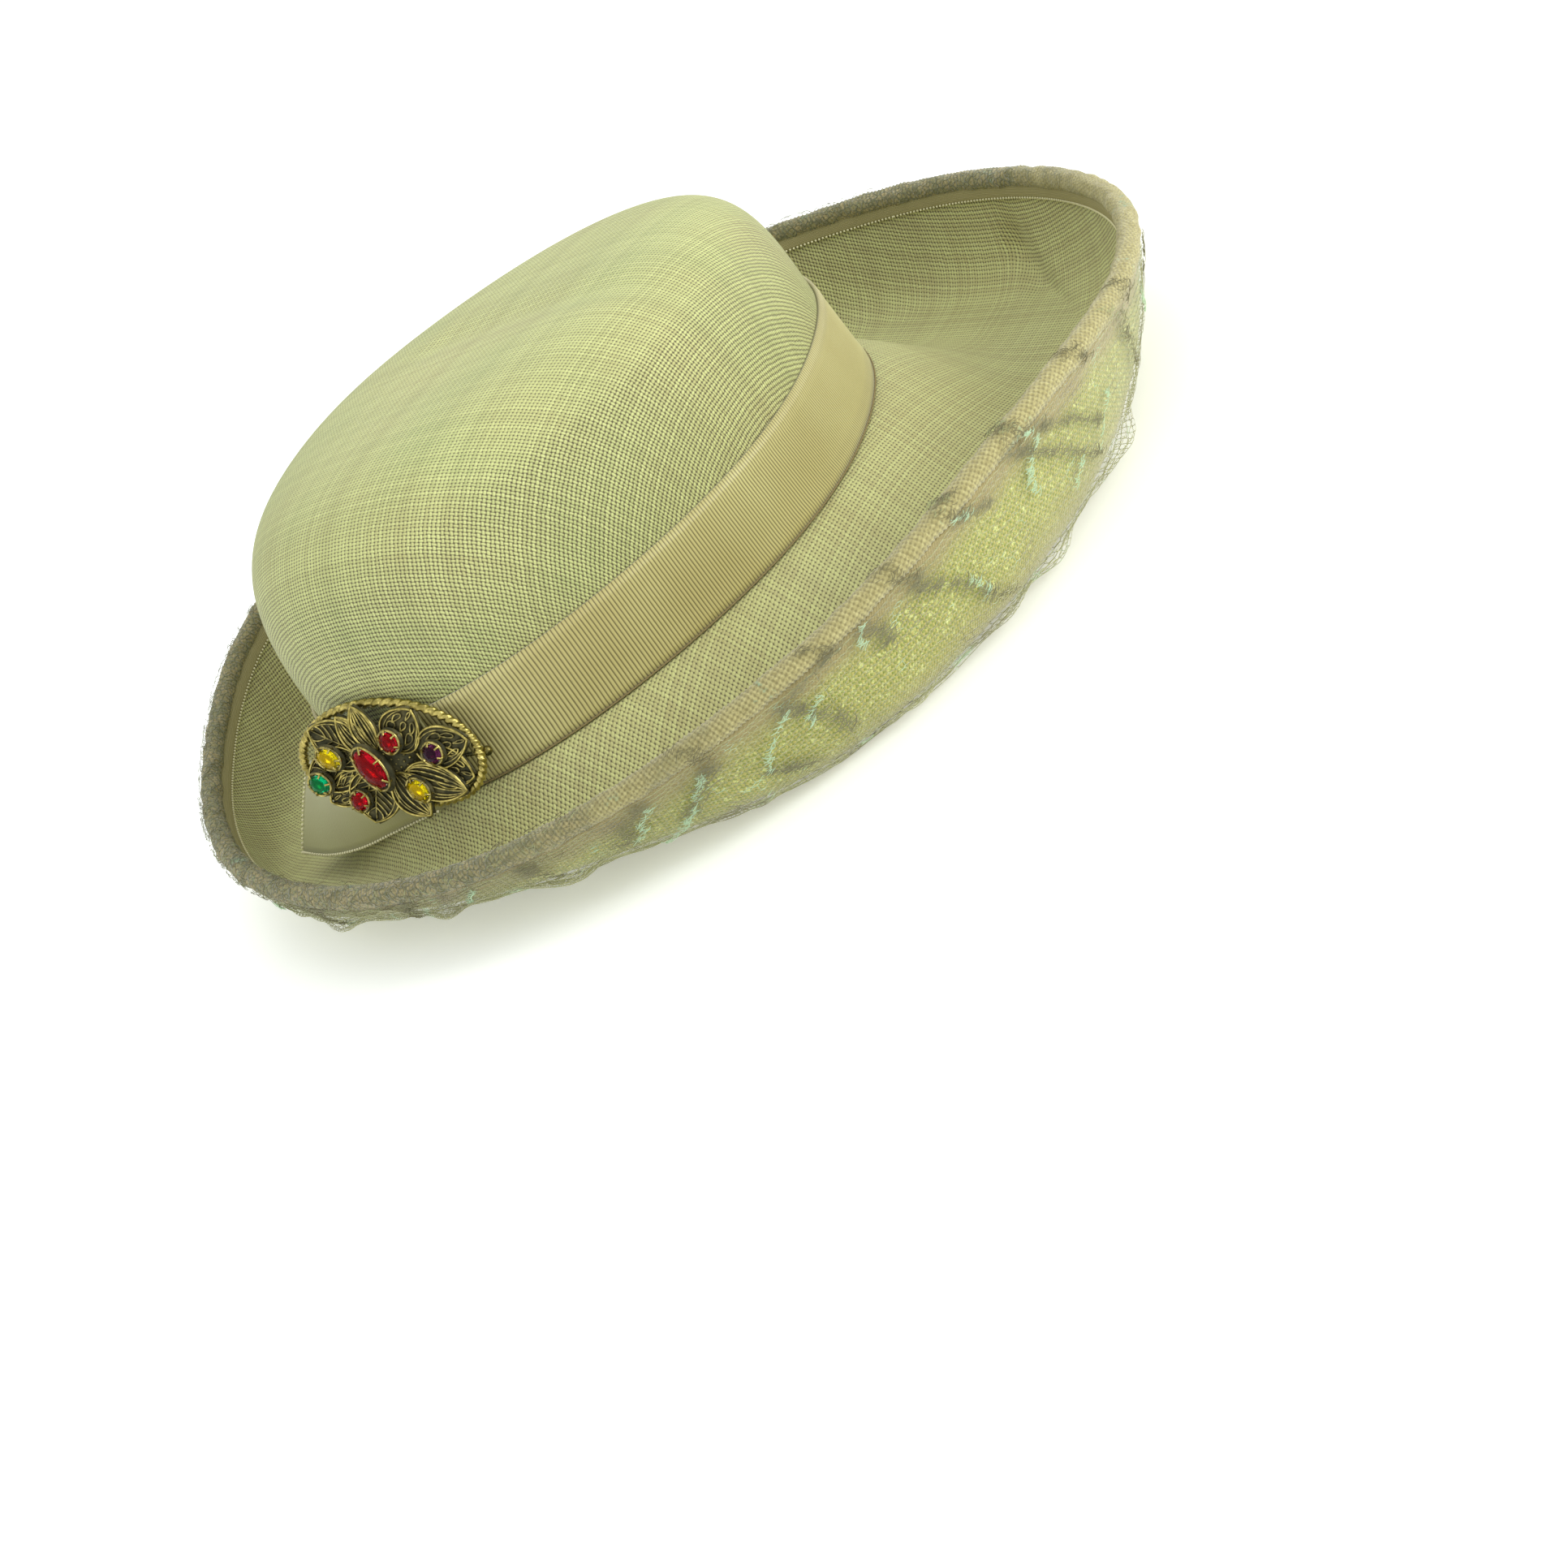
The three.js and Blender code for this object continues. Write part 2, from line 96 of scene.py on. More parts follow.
# The hat rests on a pale studio floor, which glows a little and runs on to pale surroundings.
FLOOR_SIZE = 12
FLOOR_COLOUR = (0.93, 0.94, 0.92)
FLOOR_ROUGHNESS = 0.9
FLOOR_GLOW = 0.3
SURROUND_COLOUR = (0.95, 0.98, 0.96)
SURROUND_STRENGTH = 0.92


def add_node(tree, kind, inputs=(), **settings):
    made = tree.nodes.new(kind)
    for setting, value in settings.items():
        setattr(made, setting, value)
    for socket, value in inputs:
        if isinstance(value, bpy.types.NodeSocket):
            tree.links.new(value, made.inputs[socket])
        else:
            made.inputs[socket].default_value = (*value, 1) if isinstance(value, tuple) else value
    return made


def calculate(tree, operation, *values):
    return add_node(tree, "ShaderNodeMath", enumerate(values), operation=operation).outputs[0]


def new_material(name, colour, roughness, metallic=0.0, extra=()):
    material = bpy.data.materials.new(name)
    material.use_nodes = True
    material.diffuse_color = (*colour, 1)
    shader = material.node_tree.nodes["Principled BSDF"]
    main = [("Base Color", (*colour, 1)), ("Roughness", roughness), ("Metallic", metallic)]
    for socket, value in (*main, *extra):
        shader.inputs[socket].default_value = value
    return material, material.node_tree, shader


def new_object(name, bm, material, smooth=True):
    mesh = bpy.data.meshes.new(name)
    bm.to_mesh(mesh)
    bm.free()
    mesh.materials.append(material)
    mesh.polygons.foreach_set("use_smooth", [smooth] * len(mesh.polygons))
    made = bpy.data.objects.new(name, mesh)
    bpy.context.scene.collection.objects.link(made)
    return made


def new_piece(name, bm, material, replaced=(), smooth=True):
    piece = new_object(name, bm, material, smooth)
    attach(piece, "root")
    if replaced:
        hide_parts(*replaced)
    return piece


floor_mesh = bmesh.new()
bmesh.ops.create_grid(floor_mesh, x_segments=1, y_segments=1, size=FLOOR_SIZE / 2)
floor_glow = [("Emission Color", (*FLOOR_COLOUR, 1)), ("Emission Strength", FLOOR_GLOW)]
floor_material = new_material("studio_floor", FLOOR_COLOUR, FLOOR_ROUGHNESS, extra=floor_glow)[0]
floor = new_object("floor", floor_mesh, floor_material, smooth=False)

world = bpy.data.worlds.new("surroundings")
world.use_nodes = True
background = world.node_tree.nodes["Background"]
background.inputs["Color"].default_value = (*SURROUND_COLOUR, 1)
background.inputs["Strength"].default_value = SURROUND_STRENGTH
bpy.context.scene.world = world

# Three soft lamps: a wide one overhead, one on the wearer's right and a weak one behind the hat.
Lamp = namedtuple("Lamp", "name place size power")
LAMPS = (
    Lamp("overhead", (0.3, -0.3, 1.5), 1.1, 3.2),
    Lamp("wearers_right", (-1.25, -0.4, 0.5), 0.6, 11.0),
    Lamp("window_behind", (0.2, 1.45, 0.7), 0.4, 1.8),
)
for lamp in LAMPS:
    lamp_data = bpy.data.lights.new(lamp.name, "AREA")
    lamp_data.shape = "DISK"
    lamp_data.size = lamp.size
    lamp_data.energy = lamp.power
    lamp_object = bpy.data.objects.new(lamp.name, lamp_data)
    lamp_object.location = lamp.place
    lamp_object.rotation_euler = (head_middle - lamp_object.location).to_track_quat("-Z", "Y").to_euler()
    bpy.context.scene.collection.objects.link(lamp_object)


# Straw cloth: stiffened plain weave, khaki, with small holes where four threads meet, coloured dark as
# painted shade.
# Its UV map counts threads, so one unit is one thread. The holes are wider where it stands steep.
STRAW_LIGHT = (0.63, 0.66, 0.27)
STRAW_TAN = (0.42, 0.38, 0.15)
STRAW_GREEN = (0.37, 0.42, 0.155)
STRAW_KHAKI = (0.44, 0.415, 0.185)
STRAW_HOLE_SHADE = (0.10, 0.082, 0.035)
STRAW_ROUGHNESS = 0.62
STRAW_SHEEN = 0.1
STRAW_RELIEF = 0.35
STRAW_SWING = 0.3
STRAW_WANDER = 0.32
STRAW_VARIETY = 0.7
WANDER_CLOUD = (260,)
TONE_CLOUD = (18, 3)
TONE_EDGES = (0.35, 0.65)
SLOPE_EDGES = (0.35, 0.95)
SLOPE_TIGHTNESS = (0.14, -0.1)
HOLE_EDGES = (0.36, 0.72)
THREAD_ROUNDNESS = 0.55


def woven_height(tree, first, second, swing):
    """How high the upper thread of a plain weave stands, from 0 in a hole to 1."""
    across = calculate(tree, "SINE", calculate(tree, "MULTIPLY", first, math.pi))
    along = calculate(tree, "SINE", calculate(tree, "MULTIPLY", second, math.pi))
    sides = []
    for this, other, way in ((across, along, swing), (along, across, -swing)):
        sign = calculate(tree, "SIGN", this)
        over = calculate(tree, "MULTIPLY_ADD", calculate(tree, "MULTIPLY", sign, other), way, 1 - swing)
        round_top = calculate(tree, "POWER", calculate(tree, "ABSOLUTE", this), THREAD_ROUNDNESS)
        sides.append(calculate(tree, "MULTIPLY", round_top, over))
    return calculate(tree, "MAXIMUM", *sides), sides


def colour_between(tree, amount, low, high):
    inputs = ((0, amount), (6, low), (7, high))
    return add_node(tree, "ShaderNodeMix", inputs, data_type="RGBA").outputs[2]


def step_between(tree, value, low, high):
    inputs = (("Value", value), ("From Min", low), ("From Max", high))
    return add_node(tree, "ShaderNodeMapRange", inputs).outputs[0]


def parts_of(tree, vector):
    return add_node(tree, "ShaderNodeSeparateXYZ", ((0, vector),)).outputs


def thread_counts(tree):
    """The numbers of the threads at a place, across and along the cloth."""
    return parts_of(tree, add_node(tree, "ShaderNodeUVMap", uv_map="weave").outputs[0])[:2]


def cloud(tree, scale, detail=2.0, roughness=0.5):
    """Soft blotches over the piece: how many there are to a metre, their detail and roughness."""
    place = add_node(tree, "ShaderNodeTexCoord").outputs["Object"]
    inputs = (("Vector", place), ("Scale", scale), ("Detail", detail), ("Roughness", roughness))
    return add_node(tree, "ShaderNodeTexNoise", inputs).outputs["Fac"]


def raise_surface(tree, shader, height, relief):
    bump = add_node(tree, "ShaderNodeBump", (("Height", height), ("Distance", relief * MM), ("Strength", 1)))
    tree.links.new(bump.outputs[0], shader.inputs["Normal"])


def straw_material(name, cool, tint):
    sheen = [("Sheen Weight", STRAW_SHEEN)]
    material, tree, shader = new_material(name, STRAW_TAN, STRAW_ROUGHNESS, extra=sheen)
    first, second = thread_counts(tree)
    wander = calculate(tree, "MULTIPLY_ADD", cloud(tree, *WANDER_CLOUD), STRAW_WANDER * 2, -STRAW_WANDER)
    first = calculate(tree, "ADD", first, wander)
    second = calculate(tree, "SUBTRACT", second, wander)
    height, _ = woven_height(tree, first, second, STRAW_SWING)
    base = colour_between(tree, step_between(tree, cloud(tree, *TONE_CLOUD), *TONE_EDGES), STRAW_TAN, cool)
    own = []
    for number in (first, second):
        whole = (("W", calculate(tree, "FLOOR", number)),)
        own.append(add_node(tree, "ShaderNodeTexWhiteNoise", whole, noise_dimensions="1D").outputs[0])
    straws = calculate(tree, "MULTIPLY", calculate(tree, "ADD", *own), 1 / len(own))
    lightness = calculate(tree, "MULTIPLY_ADD", straws, STRAW_VARIETY, tint)
    lit = colour_between(tree, lightness, base, STRAW_LIGHT)
    level = parts_of(tree, add_node(tree, "ShaderNodeNewGeometry").outputs["Normal"])[2]
    flatness = step_between(tree, calculate(tree, "ABSOLUTE", level), *SLOPE_EDGES)
    tightness = calculate(tree, "MULTIPLY_ADD", flatness, *SLOPE_TIGHTNESS)
    # Painted shade: where the threads dip into a hole, the colour turns dark.
    deep = step_between(tree, calculate(tree, "ADD", height, tightness), *HOLE_EDGES)
    tree.links.new(colour_between(tree, deep, STRAW_HOLE_SHADE, lit), shader.inputs["Base Color"])
    raise_surface(tree, shader, height, STRAW_RELIEF)
    return material


# Brim: straw cloth blocked into a dip that turns up all round. The middle line of its cut is
# drawn from the crown's foot down to a flat stretch that rests on the floor, and up to the rim.
HEAD_HALF_LENGTH = 99.5
HEAD_HALF_WIDTH = 78.5
HEAD_PINCH = 0.027
REST_WIDTH = 9.0
REST_LEVEL = -23.5
DROP_ANGLE = -28
INNER_FULLNESS = 1.1
OUTER_FULLNESS = 1.2
ROLL_RADIUS = 3.4
GAP = 0.3
BRIM_TOP = 0.5
BRIM_THICKNESS = 1.0
HIDDEN_EDGE = 2.9
HIDDEN_RIM = 2.04
BRIM_TINT = 0.06
BrimStation = namedtuple("BrimStation", "reach height share trough lift")
BRIM_STATIONS = [BrimStation(*row) for row in (
    (167.9, 7.0, 0.55, -23.5, 68),
    (167.9, 11.8, 0.57, -23.5, 68),
    (163.4, 13.9, 0.59, -23.5, 67),
    (154.8, 15.0, 0.63, -23.5, 66),
    (141.1, 4.7, 0.65, -22.5, 65),
    (132.1, -1.1, 0.64, -16.8, 62),
    (127.6, -4.5, 0.62, -12.3, 60),
    (133.5, -1.7, 0.64, -15.7, 62),
    (148.0, 6.4, 0.69, -23.5, 68),
    (156.8, 13.4, 0.66, -23.5, 65),
    (164.0, 8.2, 0.58, -23.5, 64),
    (167.1, 4.5, 0.56, -23.5, 69),
)]
BRIM_AROUND = 288
DROP_ROWS = 12
WALL_ROWS = 24
BRIM_ROWS = DROP_ROWS + WALL_ROWS + 2
BRIM_THREAD = 1.18
BRIM_GRAIN = (math.radians(6), math.radians(74))
Dent = namedtuple("Dent", "start end width depth")
BRIM_FOLD = Dent(Vector((-47, -152)), Vector((-84, -112)), 3.6, 3.0)


def oval_reach(angle, half_length, half_width):
    along = math.cos(math.radians(angle)) / half_length
    across = math.sin(math.radians(angle)) / half_width
    return (1 - HEAD_PINCH * math.sin(math.radians(angle * 2)) ** 2) / math.hypot(along, across)


def point_at(angle, reach, height):
    turn = math.radians(angle)
    return on_hat(math.sin(turn) * reach, -math.cos(turn) * reach, height)


def smooth_value(before, here, after, later, part):
    """A value between the middle two of four neighbours, on a smooth curve through all of them."""
    bend = 2 * before - 5 * here + 4 * after - later + part * (3 * (here - after) + later - before)
    return here + 0.5 * part * (after - before + part * bend)


def brim_value(column, angle):
    """A value of the brim's table at any angle, by a smooth curve through the stations."""
    count = len(BRIM_STATIONS)
    place = angle / 360 % 1 * count
    first = int(place)
    rows = [getattr(BRIM_STATIONS[(first + step) % count], column) for step in (-1, 0, 1, 2)]
    return smooth_value(*rows, place - first)


def bezier(points, share):
    """The point on a cubic curve and the upward normal there."""
    rest = 1 - share
    a, b, c, d = points
    point = rest**3 * a + 3 * rest**2 * share * b + 3 * rest * share**2 * c + share**3 * d
    slope = 3 * (rest**2 * (b - a) + 2 * rest * share * (c - b) + share**2 * (d - c))
    slope.normalize()
    return point, Vector((-slope.y, slope.x))


def brim_curves(angle):
    foot = Vector((oval_reach(angle, HEAD_HALF_LENGTH, HEAD_HALF_WIDTH), 0))
    rim = Vector((brim_value("reach", angle), brim_value("height", angle)))
    level = max(brim_value("trough", angle), REST_LEVEL)
    lowest = foot.x + (rim.x - foot.x) * brim_value("share", angle)
    rest_in = Vector((lowest - REST_WIDTH / 2, level))
    rest_out = Vector((lowest + REST_WIDTH / 2, level))
    drop = math.radians(DROP_ANGLE)
    lift = math.radians(brim_value("lift", angle))
    inner = (foot - rest_in).length * INNER_FULLNESS / 3
    wall = (rest_out - rim).length * OUTER_FULLNESS
    down = (
        foot,
        foot + Vector((math.cos(drop), math.sin(drop))) * inner,
        rest_in - Vector((inner, 0)),
        rest_in,
    )
    up = (
        rest_out,
        rest_out + Vector((wall / 3, 0)),
        rim - Vector((math.cos(lift), math.sin(lift))) * wall / 3,
        rim,
    )
    return down, up, wall


def dent_depth(place, dent):
    """How deep a soft dent along a line is at a place, seen from above."""
    run = dent.end - dent.start
    share = min(max((place - dent.start).dot(run) / run.length_squared, 0), 1)
    aside = (place - dent.start - run * share).length / dent.width
    return dent.depth * math.exp(-aside * aside)


def brim_fold(angle, reach):
    """The soft fold at the front of the brim, on the wearer's right."""
    turn = math.radians(angle)
    return dent_depth(Vector((math.sin(turn) * reach, -math.cos(turn) * reach)), BRIM_FOLD)


def brim_cut(angle, offset):
    """One line of the brim's cut, from the crown out, at a distance above its middle line."""
    down, up, wall = brim_curves(angle)
    line = [down[0] + Vector((-HIDDEN_EDGE, offset))]
    ends = [bezier(down, row / DROP_ROWS) for row in range(DROP_ROWS + 1)]
    last = 1 - HIDDEN_RIM / wall
    ends += [bezier(up, last * row / WALL_ROWS) for row in range(WALL_ROWS + 1)]
    for point, normal in ends:
        spot = point + normal * (offset - brim_fold(angle, point.x))
        line.append(Vector((spot.x, max(spot.y, REST_LEVEL + offset))))
    return line


def lengths_along(line):
    lengths = [0.0]
    for before, here in zip(line, line[1:]):
        lengths.append(lengths[-1] + (here - before).length)
    return lengths


def ring_cloth(around, rows, cut_at, count_threads, upside_down=False):
    """A cloth all round the head: a grid bent to the cuts, with the threads counted in its UV map."""
    bm = bmesh.new()
    weave = bm.loops.layers.uv.new("weave")
    bmesh.ops.create_grid(bm, x_segments=around, y_segments=rows, size=0.5)
    cuts = [cut_at(360 * column / around) for column in range(around)]
    lengths = [lengths_along(cut) for cut in cuts]
    threads = {}
    for vert in bm.verts:
        column = round((vert.co.x + 0.5) * around)
        row = round((vert.co.y + 0.5) * rows)
        angle = 360 * column / around
        spot = cuts[column % around][row]
        threads[vert] = count_threads(angle, spot, lengths[column % around][row])
        vert.co = point_at(angle, *spot) if len(spot) == 2 else on_hat(*spot)
    for face in bm.faces:
        for loop in face.loops:
            loop[weave].uv = threads[loop.vert]
    if upside_down:
        bmesh.ops.reverse_faces(bm, faces=bm.faces)
    bmesh.ops.remove_doubles(bm, verts=bm.verts, dist=SAME_PLACE)
    return bm


def thicken(piece, thickness):
    wall = piece.modifiers.new("cloth thickness", "SOLIDIFY")
    wall.thickness = thickness * MM
    wall.offset = -1


def brim_threads(angle, spot, length):
    turn = math.radians(angle - 90)
    foot = oval_reach(angle, HEAD_HALF_LENGTH, HEAD_HALF_WIDTH)
    spread = (foot - HIDDEN_EDGE + length) / BRIM_THREAD
    return [spread * math.cos(turn - grain) for grain in BRIM_GRAIN]


brim_straw = straw_material("straw_cloth_brim", STRAW_KHAKI, BRIM_TINT)
brim_mesh = ring_cloth(BRIM_AROUND, BRIM_ROWS, lambda angle: brim_cut(angle, BRIM_TOP), brim_threads, True)
brim_cloth = new_piece("brim_cloth", brim_mesh, brim_straw, ["brim"])
thicken(brim_cloth, BRIM_THICKNESS)


# Crown: one piece of straw cloth blocked over an oval form, with rounded shoulders and a top
# that rises a little towards the back. Its foot stands inside the ribbon.
CROWN_HEIGHT = 75.4
CROWN_BACK_RISE = 7.1
CROWN_TOP_FORWARD = 3.6
CROWN_SQUARENESS = 5.07
CROWN_FRONT_SQUARENESS = 0.3
RIBBON_HEIGHT = 25.4
RIBBON_LEAN_LENGTH = 1.1
RIBBON_LEAN_WIDTH = 2.3
RIBBON_THICKNESS = 1.0
STRAW_THICKNESS = 1.6
CROWN_TINT = 0.2
CROWN_AROUND = 240
CROWN_ROWS = 80
CROWN_THREAD = 1.24
CROWN_GRAIN = math.radians(6)
CROWN_WALL_SPREAD = 0.88
CROWN_CREASE = Dent(Vector((-60, -15)), Vector((16, -9)), 9, 1.9)
RIDGE_ANGLE = 244
RIDGE_SPREAD = 34
RIDGE_STEP = 0.44
RIDGE_WIDTH = 0.045
RIDGE_HEIGHT = 0.9


def crown_ridge(angle, step):
    """How far the soft ridge round the shoulder stands out on the wearer's right."""
    aside = (angle - RIDGE_ANGLE) / RIDGE_SPREAD
    below = (step - RIDGE_STEP) / RIDGE_WIDTH
    return RIDGE_HEIGHT * math.exp(-aside ** 4 - below * below)


def crown_point(angle, step):
    turn = math.pi / 2 * (step - math.sin(2 * math.pi * step) / (2 * math.pi))
    square = 2 / (CROWN_SQUARENESS + CROWN_FRONT_SQUARENESS * math.cos(math.radians(angle)))
    inward = max(0.0, math.cos(turn)) ** square
    upward = math.sin(turn) ** square
    skin = RIBBON_THICKNESS + GAP / 2
    pinch = math.sin(math.pi / 2 * min(1, upward * CROWN_HEIGHT / RIBBON_HEIGHT))
    half_length = HEAD_HALF_LENGTH - skin - RIBBON_LEAN_LENGTH * pinch
    half_width = HEAD_HALF_WIDTH - skin - RIBBON_LEAN_WIDTH * pinch
    reach = oval_reach(angle, half_length, half_width) * (inward if step < 1 else 0)
    reach += crown_ridge(angle, step)
    x = math.sin(math.radians(angle)) * reach
    y = -math.cos(math.radians(angle)) * reach
    ribbon_share = RIBBON_HEIGHT / CROWN_HEIGHT
    y -= CROWN_TOP_FORWARD * (max(0, upward - ribbon_share) / (1 - ribbon_share)) ** 2
    z = max(upward * (CROWN_HEIGHT + CROWN_BACK_RISE * y / HEAD_HALF_LENGTH), BRIM_TOP + GAP)
    crease = dent_depth(Vector((x, y)), CROWN_CREASE)
    z -= crease * max(0, upward - ribbon_share) - 0.5 * crown_ridge(angle, step)
    return Vector((x, y, z))


def crown_threads(angle, spot, length):
    reach = math.hypot(spot.x, spot.y)
    top = CROWN_HEIGHT + CROWN_BACK_RISE * spot.y / HEAD_HALF_LENGTH
    spread = (reach + CROWN_WALL_SPREAD * (top - spot.z)) / CROWN_THREAD
    turn = math.atan2(spot.y, spot.x) - CROWN_GRAIN if reach > 0 else 0
    return spread * math.cos(turn), spread * math.sin(turn)


def crown_cut(angle):
    return [crown_point(angle, row / CROWN_ROWS) for row in range(CROWN_ROWS + 1)]


crown_straw = straw_material("straw_cloth_crown", STRAW_GREEN, CROWN_TINT)
crown_mesh = ring_cloth(CROWN_AROUND, CROWN_ROWS, crown_cut, crown_threads)
crown_cloth = new_piece("crown_cloth", crown_mesh, crown_straw, ["crown"])
thicken(crown_cloth, STRAW_THICKNESS)


# Facing: a shimmering green and gold cloth that covers the brim's underside and wall, with pale glints
# painted on as highlights.
# It is stretched over the straw cloth and meets the rolled edge in a softer, pinkish margin.
FACING_OUTSIDE = -1.9
FACING_THICKNESS = 1.0
FACING_THREAD = 0.85
FACING_GREEN = (0.265, 0.30, 0.056)
FACING_GOLD = (0.48, 0.435, 0.115)
FACING_GLINT_HIGHLIGHT = (0.74, 0.78, 0.30)
FACING_MARGIN = (0.37, 0.305, 0.125)
FACING_FOLD = (0.36, 0.32, 0.105)
FACING_ROUGHNESS = 0.48
FACING_SHEEN = [("Sheen Weight", 0.5), ("Sheen Roughness", 0.4)]
FACING_SWING = 0.45
FACING_RELIEF = 0.22
FACING_WANDER = 0.65
FACING_CLOUD = (190, 3)
GOLD_EDGES = (-0.15, 0.15)
GLINT_CLOUD = (750, 4, 0.75)
GLINT_EDGES = (0.53, 0.66)
MARGIN_CLOUD = (140, 4)
MARGIN_WANDER = 3.5
MARGIN_EDGES = (5.6, 11.2)
FOLD_EDGES = (23.0, 34.5)
FOLD_SHARE = 0.75
WAVE_HEIGHT = 0.35
WAVE_COUNT = 9
WAVE_LENGTH = 14


def soft_wave(angle, length):
    """How far stretched cloth stands off an even surface at a place, in millimetres."""
    turn = math.radians(angle)
    around = (WAVE_COUNT * math.cos(turn), WAVE_COUNT * math.sin(turn))
    return WAVE_HEIGHT * noise.noise(Vector((*around, length / WAVE_LENGTH)))


def facing_cut(angle):
    line = brim_cut(angle, FACING_OUTSIDE)
    lengths = lengths_along(line)
    return [point + Vector((0, soft_wave(angle, length))) for point, length in zip(line, lengths)]


def facing_threads(angle, spot, length):
    turn = math.radians(angle)
    foot = oval_reach(angle, HEAD_HALF_LENGTH, HEAD_HALF_WIDTH)
    spread = (foot - HIDDEN_EDGE + length) / FACING_THREAD
    return spread * math.cos(turn), spread * math.sin(turn)


def mark_rim_distance(piece):
    """Stores how far each point lies from the rim, in millimetres."""
    marks = piece.data.attributes.new("from_rim", "FLOAT", "POINT")
    values = []
    for vert in piece.data.vertices:
        x, y, z = (vert.co - head_middle) / MM
        angle = math.degrees(math.atan2(x, -y))
        rim = Vector((brim_value("reach", angle), brim_value("height", angle)))
        values.append((rim - Vector((math.hypot(x, y), z))).length)
    marks.data.foreach_set("value", values)


def facing_material():
    extra = FACING_SHEEN
    material, tree, shader = new_material("green_gold_facing", FACING_GREEN, FACING_ROUGHNESS, extra=extra)
    wander = calculate(tree, "MULTIPLY_ADD", cloud(tree, *FACING_CLOUD), FACING_WANDER * 2, -FACING_WANDER)
    counts = [calculate(tree, "ADD", count, wander) for count in thread_counts(tree)]
    height, sides = woven_height(tree, *counts, FACING_SWING)
    gold_on_top = step_between(tree, calculate(tree, "SUBTRACT", *sides), *GOLD_EDGES)
    cloth = colour_between(tree, gold_on_top, FACING_GREEN, FACING_GOLD)
    # Painted highlights: scattered pale glints over the weave.
    glints = step_between(tree, cloud(tree, *GLINT_CLOUD), *GLINT_EDGES)
    shining = colour_between(tree, glints, cloth, FACING_GLINT_HIGHLIGHT)
    uneven = calculate(tree, "MULTIPLY_ADD", cloud(tree, *MARGIN_CLOUD), MARGIN_WANDER * 2, -MARGIN_WANDER)
    from_edge = add_node(tree, "ShaderNodeAttribute", attribute_name="from_rim").outputs["Fac"]
    from_rim = calculate(tree, "ADD", from_edge, uneven)
    folded = calculate(tree, "MULTIPLY", step_between(tree, from_rim, *FOLD_EDGES), FOLD_SHARE)
    olive = colour_between(tree, folded, shining, FACING_FOLD)
    beyond = step_between(tree, from_rim, *MARGIN_EDGES)
    tree.links.new(colour_between(tree, beyond, FACING_MARGIN, olive), shader.inputs["Base Color"])
    raise_surface(tree, shader, height, FACING_RELIEF)
    return material


facing_mesh = ring_cloth(BRIM_AROUND, BRIM_ROWS, facing_cut, facing_threads)
facing_cloth = new_piece("facing_cloth", facing_mesh, facing_material(), ["brim_facing"])
mark_rim_distance(facing_cloth)
thicken(facing_cloth, FACING_THICKNESS)


# Net: fine tulle with six-sided meshes, stretched over the facing and standing a little proud.
# It is knotted thread, made here as a grid of six-sided cells whose edges become threads.
NET_OUTSIDE = -2.75
NET_ZIGZAG = 1 / 6
NET_WAVE = 0.9
NET_THREAD = 0.17
NET_NOISE = (9, 7, 50)
NET_STEP = 0.25
NET_LOWEST = REST_LEVEL - 3.2
NetStretch = namedtuple("NetStretch", "name low high cells rows")
NET_STRETCHES = (
    NetStretch("net_wall", 0.5, 1.0, 130, 30),
    NetStretch("net_underside", 0.03, 0.5, 70, 17),
)
NET_COLOUR = (0.38, 0.38, 0.16)
NET_GREY = (0.22, 0.20, 0.11)
NET_MINT = (0.46, 0.62, 0.38)
NET_ROUGHNESS = 0.8
NET_SHEEN = [("Sheen Weight", 0.4)]
GREY_CLOUD = (55, 4, 0.65)
GREY_EDGES = (0.52, 0.66)
MINT_CLOUD = (130, 3, 0.6)
MINT_EDGES = (0.62, 0.68)
BULGE_SPREAD = 0.85
Bulge = namedtuple("Bulge", "angle width share depth height")
NET_BULGES = (
    Bulge(284, 4, 0.62, 0.09, 3.4),
    Bulge(268, 3, 0.56, 0.07, 2.6),
    Bulge(259, 4, 0.6, 0.08, 3.0),
    Bulge(247, 3, 0.6, 0.07, 2.4),
    Bulge(229, 3, 0.66, 0.1, 2.6),
    Bulge(207, 4, 0.7, 0.12, 2.8),
    Bulge(190, 4, 0.74, 0.12, 2.6),
    Bulge(170, 3, 0.72, 0.12, 2.2),
    Bulge(112, 4, 0.64, 0.1, 2.6),
    Bulge(55, 4, 0.6, 0.09, 2.6),
    Bulge(20, 4, 0.6, 0.09, 2.6),
    Bulge(332, 4, 0.6, 0.09, 2.6),
)


def net_material():
    material, tree, shader = new_material("tulle", NET_COLOUR, NET_ROUGHNESS, extra=NET_SHEEN)
    patches = step_between(tree, cloud(tree, *GREY_CLOUD), *GREY_EDGES)
    bits = step_between(tree, cloud(tree, *MINT_CLOUD), *MINT_EDGES)
    greyed = colour_between(tree, patches, NET_COLOUR, NET_GREY)
    tree.links.new(colour_between(tree, bits, greyed, NET_MINT), shader.inputs["Base Color"])
    return material


def point_on_line(line, share):
    place = min(max(share, 0), 1) * (len(line) - 1)
    first = min(int(place), len(line) - 2)
    return line[first].lerp(line[first + 1], place - first)


